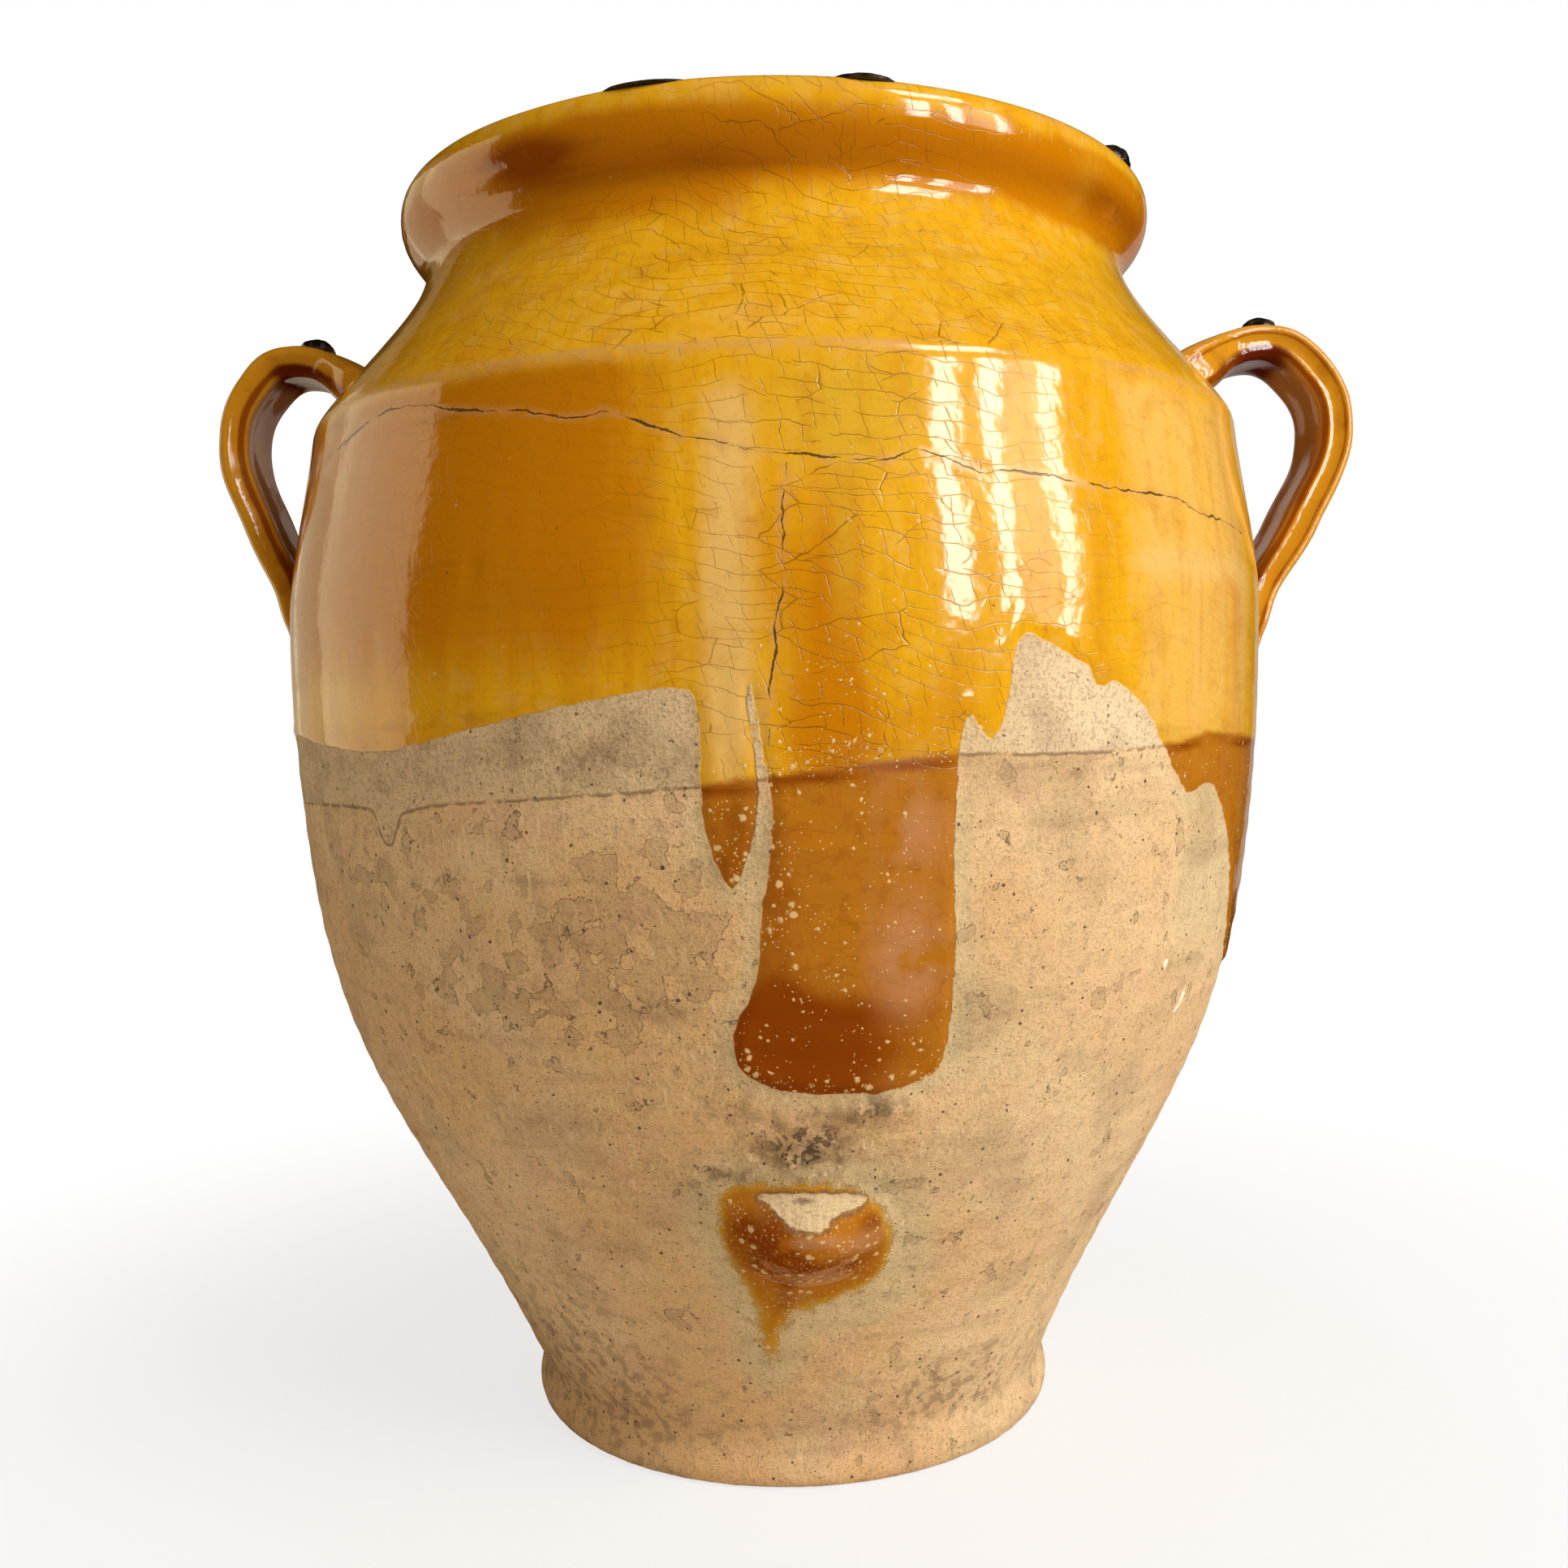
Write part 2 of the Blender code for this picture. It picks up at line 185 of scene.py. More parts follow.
for bearing in range(96, 284, 4):
    drop = sum(deep * math.exp(-((bearing - at) / wide) ** 4) for at, deep, wide in runsBehind)
    glazeEnd.append((bearing, 177 + 3 * math.sin(math.radians(5 * bearing)) - drop))
slipEnd = [
    (-67, 161), (-45, 162), (-44, 159.5), (-43.3, 154.5), (-42, 153), (-40.7, 157), (-39.5, 162),
    (-22, 164), (-6.5, 166.3), (-0.5, 167.7), (16.5, 172), (22.5, 171), (42, 171.5), (48.5, 174.5),
    (58, 173.5), (95, 168),
]
slipEnd += [(bearing, 165 + 2 * math.sin(math.radians(7 * bearing))) for bearing in range(108, 284, 8)]
scarRun = [  # glaze round the kiln scar, with its drip
    (-8.1, 75.4), (-8.6, 70.6), (-7.7, 64.0), (-6.1, 57.3), (-4.4, 49.6), (-4.2, 45.1),
    (-4.8, 40.7), (-4.6, 35.3), (-3.1, 32.6), (-1.4, 36.2), (-1.2, 42.6), (0.6, 48.7),
    (5.1, 50.9), (10.0, 53.8), (12.8, 56.8), (14.1, 62.5), (13.9, 69.1), (12.4, 75.9),
    (9.6, 80.6), (5.7, 82.8), (1.7, 83.4), (-2.2, 83.0), (-5.0, 83.6), (-7.9, 80.6),
]
slipLoop = [
    (-36.9, 162.0), (-36.5, 159.6), (-35.4, 158.4), (-34.2, 159.4), (-33.4, 161.4), (-32.9, 163.6),
]
longCrack = [
    (-58.0, 238.0), (-55.5, 240.1), (-47.0, 244.4), (-43.1, 245.9), (-37.2, 245.4), (-32.8, 242.9),
    (-24.2, 240.6), (-19.8, 238.3), (-16.9, 238.0), (-15.7, 239.3), (-10.8, 235.3), (-7.1, 232.5),
    (-5.0, 232.0), (-1.5, 229.8), (1.4, 228.9), (6.5, 227.9), (10.0, 227.8), (11.2, 228.3),
    (13.5, 230.1), (16.6, 227.9), (20.0, 225.5), (21.2, 226.5), (25.0, 226.3), (32.1, 224.6),
    (37.5, 224.3), (44.3, 224.2), (47.7, 221.8), (55.4, 220.9), (62.0, 219.5),
]
dropCrack = [  # runs down from the long crack
    (1.4, 229.0), (1.4, 225.4), (1.0, 218.7), (1.0, 213.2), (0.9, 202.2), (0.3, 197.9),
    (0.4, 192.4), (-0.1, 186.9), (-0.3, 178.8), (-0.4, 172.0),
]
chips = [  # bearing, height, half width, half height and depth of small knocks and pits
    (-28.3, 209.5, 1.3, 4.0, 0.35), (38.0, 201.6, 2.6, 1.1, 0.45), (-42.4, 195.9, 2.2, 4.2, 0.25),
    (-18.1, 171.9, 1.0, 1.0, 0.5), (-43.2, 148.3, 1.6, 2.0, 0.3), (-3.4, 158.0, 0.9, 0.9, 0.35),
    (-27.0, 158.5, 0.7, 4.5, 0.35), (-16.9, 132.2, 2.0, 1.4, 0.4), (-31.5, 126.0, 1.3, 1.0, 0.4),
]
paleStreaks = [  # bearing, height, half width and half height of small slanting white marks
    (44.8, 126.5, 0.35, 2.6), (46.0, 123.6, 0.6, 1.8), (52.2, 114.8, 0.9, 2.8),
    (51.0, 111.6, 0.6, 1.2),
]
patches = {  # bearing, height, half width, half height and strength of each look's patches
    "crust": ((2.5, 92, 6.0, 7.0, 1.0), (10.0, 99.5, 4.0, 4.0, 0.7), (-6.5, 84.5, 3.0, 3.5, 0.7),
              (-6.0, 101, 3.0, 4.0, 0.5)),     # fused kiln dirt
    "flaked": ((-11, 136, 9, 17, 1.0), (-27, 126, 14, 20, 0.6), (-45, 145, 9, 12, 0.45),
               (150, 120, 40, 25, 0.6)),       # clay whose skin has come away
    "cream": ((46, 210, 14, 3, 0.35), (5, 257, 50, 4, 0.25), (-52, 184, 9, 8, 0.5)),
    "amber": ((5.0, 197, 3.8, 29, 0.95), (8, 176, 9, 10, 0.6), (52, 200, 9, 14, 0.35),
              (0, 208, 2.5, 14, 0.30), (18, 184, 5, 12, 0.25)),
    # painted shade under the lip, at the neck
    "deep": ((-34, 300, 9, 4.5, 1.1), (-8, 295, 28, 4, 0.75)),
    "olive": ((7, 238, 8, 12, 1.0), (6.5, 212, 1.8, 20, 0.7), (-26, 262, 12, 8, 0.4)),
    # darker brown on the boss, most of it just under its break
    "darkerOnScar": ((2.5, 64.5, 10, 5.5, 1.0), (-4.5, 73, 4, 5, 0.8), (11, 74, 2.5, 3, 0.7)),
    "specked": ((-3.6, 152, 2.5, 9, 1.3), (7, 182, 7, 12, 0.5), (0.8, 143, 2.4, 20, 0.6)),
    # pinkish haze on the glaze; the patch at bearing 9.5 right of the scar is a painted reflection
    "hazeAndReflection": ((12.5, 131, 4, 13, 1.0), (13, 157, 4, 9, 0.7), (9, 173, 6, 4, 0.9),
             (9.5, 70, 4, 3.5, 0.8), (3.2, 73.3, 3, 1.4, 1.1)),
    # dirt with painted shade: the first patch darkens the waist above the foot and the last a hollow in the
    # broken face, both as painted shade; the rest are dirt
    "grimeAndShade": ((30, 22, 20, 10, 0.6), (-35, 170, 24, 9, 0.5), (-15, 173, 10, 7, 0.35),
              (-53, 150, 9, 11, 0.4), (-12, 132, 22, 26, 0.1), (2.3, 79.5, 1.7, 0.7, 1.0)),
    "halo": ((12, 55, 12, 12, 0.8),),
}
outlineRadius = {"coats": 120, "scar": 94, "loop": 118, "crack": 124}   # where each is laid flat
coatDepth = {  # in mm
    "slip": 0.15,
    "glaze": 0.38,
    "bead": 0.30,           # more along the glaze's lower edge
    "scarGlaze": 0.45,
    "loop": 0.3,
    "inside": 0.2,
    "clayGrain": 0.10,
    "flake": 0.12,
    "crack": 0.14,
}
farOff = 20.0               # mm from an edge, more than any look reaches


def rounded(points, closed, passes=2):  # cuts the corners of a given outline
    for _ in range(passes):
        ring = points + points[:1] if closed else points
        cut = []
        for (ax, ay), (bx, by) in zip(ring, ring[1:]):
            cut += [(ax * t + bx * (1 - t), ay * t + by * (1 - t)) for t in (0.75, 0.25)]
        points = cut if closed else [points[0]] + cut + [points[-1]]
    return points


def loopOf(points, passes=2):
    ring = rounded(points, True, passes)
    return ring + ring[:1]


def signedReach(outline, bearings, heights, radius):
    # mm from an outline unrolled at that radius, + for points that an odd number of
    # its segments pass below, which is above a shoreline and inside a closed outline
    perDegree = math.radians(radius)
    nearest = np.full(len(bearings), 1e9)
    above = np.zeros(len(bearings), int)
    for (ab, ah), (bb, bh) in zip(outline, outline[1:]):
        run, rise = (bb - ab) * perDegree, bh - ah
        px, py = (bearings - ab) * perDegree, heights - ah
        share = np.clip((px * run + py * rise) / max(run * run + rise * rise, 1e-9), 0, 1)
        nearest = np.minimum(nearest, np.hypot(px - share * run, py - share * rise))
        spans = (ab <= bearings) != (bb <= bearings)
        if bb != ab:
            above += spans & (ah + rise * (bearings - ab) / (bb - ab) < heights)
    return np.where(above % 2 == 1, nearest, -nearest)


def allRound(shore):  # a shoreline repeated before and after one turn
    turn = rounded(shore + [(shore[0][0] + 360, shore[0][1])], False)
    return [(b + shift, h) for shift in (-360, 0, 360) for b, h in turn]


def smoothRun(start, startLean, end, endLean, fullness, step):  # without its first point
    start, end = Vector(start), Vector(end)
    reach = (end - start).length
    leave = start + heading(startLean) * reach * fullness[0]
    arrive = end - heading(endLean) * reach * fullness[1]
    count = max(2, round(reach / step))
    run = interpolate_bezier(start.to_3d(), leave.to_3d(), arrive.to_3d(), end.to_3d(), count + 1)
    return [Vector((p.x, p.y)) for p in run[1:]]


def outerProfile(step):
    s = potSizes
    points = [Vector((s["foot"][0] - s["baseEdge"], 0.0))]
    points += smoothRun(points[0], 75, s["foot"], 0, (0.30, 0.40), step / 2)
    points += smoothRun(s["foot"], 0, s["waist"], 8, (0.35, 0.35), step)
    points += smoothRun(s["waist"], s["taperLean"], s["belly"], 0, (0.41, 0.57), step)
    points += smoothRun(s["belly"], 0, s["ridge"], s["ridgeLean"], (0.27, 0.31), step)
    points += smoothRun(s["ridge"], s["shoulderLean"], s["neck"], 0, (0.32, 0.22), step)
    points += smoothRun(s["neck"], 10, s["lip"], 0, (0.35, 0.45), step)
    points += smoothRun(s["lip"], 0, s["crest"], -90, (0.50, 0.50), step / 2)
    return points


def wallRadius(height):
    outer = outerProfile(potSizes["outerStep"])
    return float(np.interp(height, [p.y for p in outer], [p.x for p in outer]))


def innerProfile(crest, step):
    s = potSizes
    wall, floor, corner = s["wall"], s["floor"], s["floorCorner"]
    throat = (s["neck"][0] - wall, s["neck"][1])
    ridge = (s["ridge"][0] - wall, s["ridge"][1] - wall)
    belly = (s["belly"][0] - wall, s["belly"][1])
    low = (wallRadius(floor + corner) - wall / math.cos(math.radians(s["taperLean"])), floor + corner)
    floorEdge = (low[0] - corner, floor)
    points = smoothRun(crest, -90, s["innerLip"], 180, (0.5, 0.5), 1.6)
    points += smoothRun(s["innerLip"], 180, throat, 180, (0.45, 0.35), 3)
    points += smoothRun(throat, 180, ridge, 180 + s["shoulderLean"], (0.22, 0.32), step)
    points += smoothRun(ridge, 180 + s["ridgeLean"], belly, 180, (0.31, 0.27), step)
    points += smoothRun(belly, 180, low, 180 + s["taperLean"], (0.57, 0.41), step)
    points += smoothRun(low, 180 + s["taperLean"], floorEdge, -90, (0.5, 0.5), 4)
    return points


def softened(points):  # the outer profile with its ridge and waist worn round
    s = potSizes
    for edge, passes in (("ridge", s["ridgeRounding"]), ("waist", 2)):
        at = min(range(len(points)), key=lambda i: abs(points[i].y - s[edge][1]))
        for _ in range(passes):
            near = {i: (points[i - 1] + points[i + 1]) / 2 for i in range(at - 3, at + 4)}
            for i, middle in near.items():
                points[i] = points[i].lerp(middle, 0.5)
    return points


def outward(profile):  # which way is out of the wall at each profile point
    along = np.gradient(np.array([(p.x, p.y) for p in profile]), axis=0)
    along /= np.maximum(np.linalg.norm(along, axis=1), 1e-9)[:, None]
    return np.stack([along[:, 1], -along[:, 0]], axis=1)


def climbed(profile):  # length of the profile up to each of its points
    steps = [0.0] + [(b - a).length for a, b in zip(profile, profile[1:])]
    return np.cumsum(steps)


def coats(bearing, height, radius, outside, inside):
    # what clay, slip, glaze and wear do at each point, with painted light and shade: fields for the finish,
    # and how far the surface stands off the turned shape, in mm
    def near(at, wide):
        return hump(bearing, at, wide)

    def level(up, tall):
        return hump(height, up, tall)

    def past(low, high):
        return smooth(low, high, bearing)

    def above(low, high):
        return smooth(low, high, height)

    def spread(name):
        return sum(much * near(at, wide) * level(up, tall)
                   for at, up, wide, tall, much in patches[name])

    def reach(outline, name):
        return signedReach(outline, bearing, height, outlineRadius[name])

    def fromCrack(line, along, aside):  # how far aside, and 1 where there is no crack
        at, off = np.array(line).T
        beyond = np.maximum(at[0] - along, along - at[-1])
        return aside - np.interp(along, at, off), np.where(outside, smooth(-1.0, 0.5, beyond), 1.0)

    turn = np.radians(bearing)
    around = roundAxis(radius, turn, height)
    glaze = np.where(height < 0.5, -farOff, reach(allRound(glazeEnd), "coats"))
    glaze = np.where(inside, farOff, glaze)
    slip = np.where(inside, farOff, reach(allRound(slipEnd), "coats"))
    scar = reach(loopOf(scarRun), "scar")
    face = np.where(outside, reach(loopOf(brokenFace, 1), "scar"), -farOff)
    loop = reach(rounded(slipLoop, False), "loop")
    across, acrossOff = fromCrack(longCrack, bearing, height)
    beside, besideOff = fromCrack([(h, b) for b, h in reversed(dropCrack)], height, bearing)
    beside *= math.radians(outlineRadius["crack"])

    wobble = noiseAt(around, 40, 1, 1)
    blotch = noiseAt(around, 11, 3, 2)
    fine = noiseAt(around, 4.2, 3, 3)
    crust = np.clip(spread("crust"), 0, 1) * (outside & (scar < 1.5))
    flaked = np.clip(spread("flaked"), 0, 1) * (outside & (glaze < 0))
    streaked = np.zeros(len(bearing))
    for at, up, wide, tall in paleStreaks:
        slanted = (bearing - at) * np.radians(radius) - 0.4 * (height - up)
        streaked += hump(slanted, 0, wide) * level(up, tall) * outside

    d = coatDepth
    rise = sway["unevenness"] * wobble
    rings = np.sin(math.tau * height / sway["pitch"] + 0.8 * np.sin(turn) + 2 * wobble)
    # the glaze fills most of the rings
    rise += sway["ringDepth"] * rings * (0.15 + 0.85 * above(190, 150))
    rise *= above(2, 20)
    thick = d["slip"] * smooth(-0.8, 0.8, slip)
    thick += smooth(-0.7, 1.5, glaze + 0.5 * fine) * (d["glaze"] + d["bead"] * hump(glaze, 2.0, 1.6))
    thick += d["scarGlaze"] * smooth(-0.5, 3.0, scar) + d["loop"] * hump(loop, 0, 0.9)
    thick += crust * (np.maximum(fine, 0) ** 1.2 * 2.8 + np.maximum(blotch, 0) * 1.6)
    thick += (d["clayGrain"] * fine - d["flake"] * flaked) * (glaze < 0)
    for at, up, wide, tall, deep in chips:
        far = np.hypot((bearing - at) * np.radians(radius) / wide, (height - up) / tall)
        thick -= deep * (1 - smooth(0.5, 1.2, far))
    cracked = hump(across, 0, 0.7) * (1 - acrossOff) + hump(beside, 0, 0.6) * (1 - besideOff)
    thick -= d["crack"] * cracked
    standOff = rise * (outside | inside) + thick * outside + d["inside"] * inside
    standOff *= height > 0.3

    band = above(252, 246) * outside       # below the ridge
    cone = above(248, 254) * above(294, 286) * outside
    rim = above(286, 296) * outside
    back = smooth(90, 120, np.abs(bearing))
    cream = near(-3.9, 2.5) * above(150, 185) * above(252, 235) + spread("cream")
    cream += 0.18 * near(-3.5, 3.5) * cone + 0.45 * near(62, 6) * cone
    cream += 0.55 * past(32, 40) * past(66, 58) * above(158, 180) * band
    cream += 0.7 * back * hump(np.sin(np.radians(bearing * 9)), 1, 0.5) * band
    amber = past(-5, -17) * past(-100, -80) * band * (0.95 - 0.7 * level(182, 13)) + spread("amber")
    amber += 0.4 * near(57, 2) * band + 0.30 * near(33, 4) * band + 0.20 * past(-15, -35) * cone
    amber += rim * (0.45 + 0.4 * past(5, -30) + 0.85 * past(30, 50)) * above(307, 303)
    # painted shade under the lip and at the neck, laid on as amber
    amber += 0.75 * level(297, 6) * outside * smooth(70, 40, np.abs(bearing))
    amber += 0.75 * level(288, 6) * near(-18, 20) * outside
    amber += 0.5 * back * hump(np.sin(np.radians(bearing * 7 + 40)), 1, 0.6) * band + 0.25 * inside
    # painted shade under the lip
    deep = spread("deep") + 0.55 * past(30, 55) * past(90, 70) * level(299, 6)
    olive = spread("olive") + 0.4 * near(48, 5) * rim
    crazed = 0.30 + 0.8 * near(8, 17) + 0.45 * cone * near(-5, 40)
    crazed = (crazed * past(-80, -50) + 0.5 * back) * smooth(179, 173, np.abs(bearing))
    crazed *= 1 - 0.6 * smooth(0, -4, slip)
    pooled = 0.8 * hump(slip, -1.3, 1.3) + smooth(-3, 4, scar) * spread("darkerOnScar")
    pooled += 1.1 * near(2, 11) * above(131, 119) * above(92, 100) + 0.5 * near(0, 2.5) * above(170, 150)
    pooled += 0.45 * near(-3.9, 2.6) * above(166, 161) * above(140, 145)
    specked = spread("specked") + 0.30 * smooth(10, -12, slip) + 0.65 * smooth(0, 3, scar)
    specked += 0.5 * hump(slip, 2.5, 3.0) * near(7, 12) + 0.5 * hump(slip, 1.5, 1.6) * near(7, 8)
    specked += 0.9 * hump(glaze, 1.5, 2.5) * above(118, 108)
    # darker clay: dirt and kiln crust, with painted shade in the waist above the foot and low on the left
    grimeAndShade = 0.15 * flaked + 1.4 * crust + (0.3 * level(13, 6) + 0.2 * level(24, 9)) * outside
    grimeAndShade += 0.5 * past(-5, -35) * past(-120, -90) * above(90, 35) * outside + spread("grimeAndShade") * outside
    paintedLightRight = past(15, 32) * past(105, 85) * outside   # painted light: paler on the right side, where the light falls
    halo = hump(scar, -1, 8) + spread("halo") + 0.8 * hump(glaze, -1.0, 3.5) * above(168, 160)
    halo += 0.6 * past(17, 19) * near(22, 10) * level(118, 20)
    halo += 0.8 * past(43, 48) * past(75, 62) * level(140, 22)
    # painted highlight over real wear: a pale line along the shoulder ridge and the rim's top, mostly left
    # out from 15 to 33 degrees, where a lamp's real highlight falls
    ridgeWearAndHighlight = (0.9 * level(250.6, 1.0) + 0.5 * level(308, 1.2) * near(25, 30)) * outside
    ridgeWearAndHighlight *= 1 - 0.9 * past(11, 15) * past(37, 33)
    low = above(60, 44)    # the scar's drip gets thinner downward
    scar = np.where(outside, scar / (1 + 1.4 * low) + 0.7 * low - 1.1 * above(48, 33), -farOff)
    fields = dict(
        glazeEdge=glaze, slipEdge=slip, scarEdge=scar, brokenFace=face,
        crackAcross=across, crackBeside=beside, acrossOff=acrossOff, besideOff=besideOff,
        cream=cream, amber=amber, deep=deep, paintedLightRight=paintedLightRight, olive=olive, crazed=crazed,
        pooled=pooled, specked=specked, hazeAndReflection=spread("hazeAndReflection"), grimeAndShade=grimeAndShade, flaked=flaked,
        halo=halo, streaked=streaked, ridgeWearAndHighlight=ridgeWearAndHighlight)
    return {name: np.clip(values, -farOff, farOff) for name, values in fields.items()}, standOff


def unrolled(bearing, along):  # mm round the pot and mm up the profile, for patterns on the flat
    return {"roundAt": np.radians(bearing) * potSizes["unrollRadius"], "upAt": along}


def makeBody():
    s = potSizes
    outer = softened(outerProfile(s["outerStep"]))
    inner = innerProfile(outer[-1], s["innerStep"])
    under = [Vector((r, 0.0)) for r in (0.0, 25.0, 50.0)]
    within = [Vector((r, s["floor"])) for r in (40.0, 20.0, 0.0)]
    profile = under + outer + inner + within

    bm = bmesh.new()
    ring = bm.verts.layers.int.new("ring")
    column = []
    for i, p in enumerate(profile):
        vert = bm.verts.new((0.0, -p.x, p.y))
        vert[ring] = i
        column.append(vert)
    edges = [bm.edges.new(pair) for pair in zip(column, column[1:])]
    bmesh.ops.spin(bm, geom=column + edges, cent=(0, 0, 0), axis=(0, 0, 1), angle=math.tau,
                   steps=s["turnSteps"], use_merge=True, use_normal_flip=False)
    bmesh.ops.remove_doubles(bm, verts=bm.verts, dist=0.001)
    bmesh.ops.recalc_face_normals(bm, faces=bm.faces)
    body = asObject(bm, "glazed_body")
    mesh = body.data

    co = coordsOf(mesh)
    rings = np.empty(len(co), np.int32)
    mesh.attributes["ring"].data.foreach_get("value", rings)
    radius, height = np.hypot(co[:, 0], co[:, 1]), co[:, 2]
    turn = np.arctan2(co[:, 0], -co[:, 1])
    turn = turn - s["crowding"] * np.sin(turn)
    bearing = np.degrees(turn)
    outside = (rings >= len(under)) & (rings < len(under) + len(outer))
    inside = rings >= len(under) + len(outer)
    outR, outZ = outward(profile)[rings].T

    fields, standOff = coats(bearing, height, radius, outside, inside)
    spread = radius + standOff * outR + ovalAt(turn, height) * (radius > 1)
    place = roundAxis(spread, turn, height + standOff * outZ)
    place[:, 2] = np.where(height < 0.3, np.maximum(place[:, 2], 0), place[:, 2])
    settle(mesh, place)
    fields.update(unrolled(bearing, climbed(profile)[rings]))
    for name, values in fields.items():
        keepLayer(mesh, name, values)
    mesh.attributes.remove(mesh.attributes["ring"])
    print("body turned:", len(mesh.polygons), "faces")
    return body


# Honey lead glaze over slip and clay: glossy, crazed, with pale bubbles where it ran thick,
# over chalky slip and gritty low-fired clay
wareFinish = {
    "clay": "#dfb680",
    "clayPale": "#e9c99b",
    "clayPink": "#dcae8a",
    "clayGreen": "#d0c194",
    # dark clay for dirt, also laid on as painted shade
    "clayGrimeAndShade": "#84684a",
    # painted light: the pale laid on the lit right side
    "paintedLightPale": "#f4e0bc",
    "slip": "#dcc197",
    "honey": "#e9af18",
    "amber": "#cb8004",
    "cream": "#ebc274",
    "olive": "#dbae30",
    "brown": "#b8761e",
    "brownDeep": "#8a3e02",
    "bubble": "#ecca8c",
    "crazeLine": "#7a4c10",
    # pinkish haze, also laid on as a painted reflection beside the scar
    "hazeAndReflection": "#c89068",
    # worn glaze, and the painted highlight along the ridge
    "wornAndHighlight": "#d3a062",
    "clayLight": "#ecd3a2",
    "break": "#e2caa0",
    "crack": "#3a2413",
    "speck": "#4a2c16",
    "glazeRoughness": 0.09,
    "clayRoughness": 0.92,
    "ior": 1.6,
}


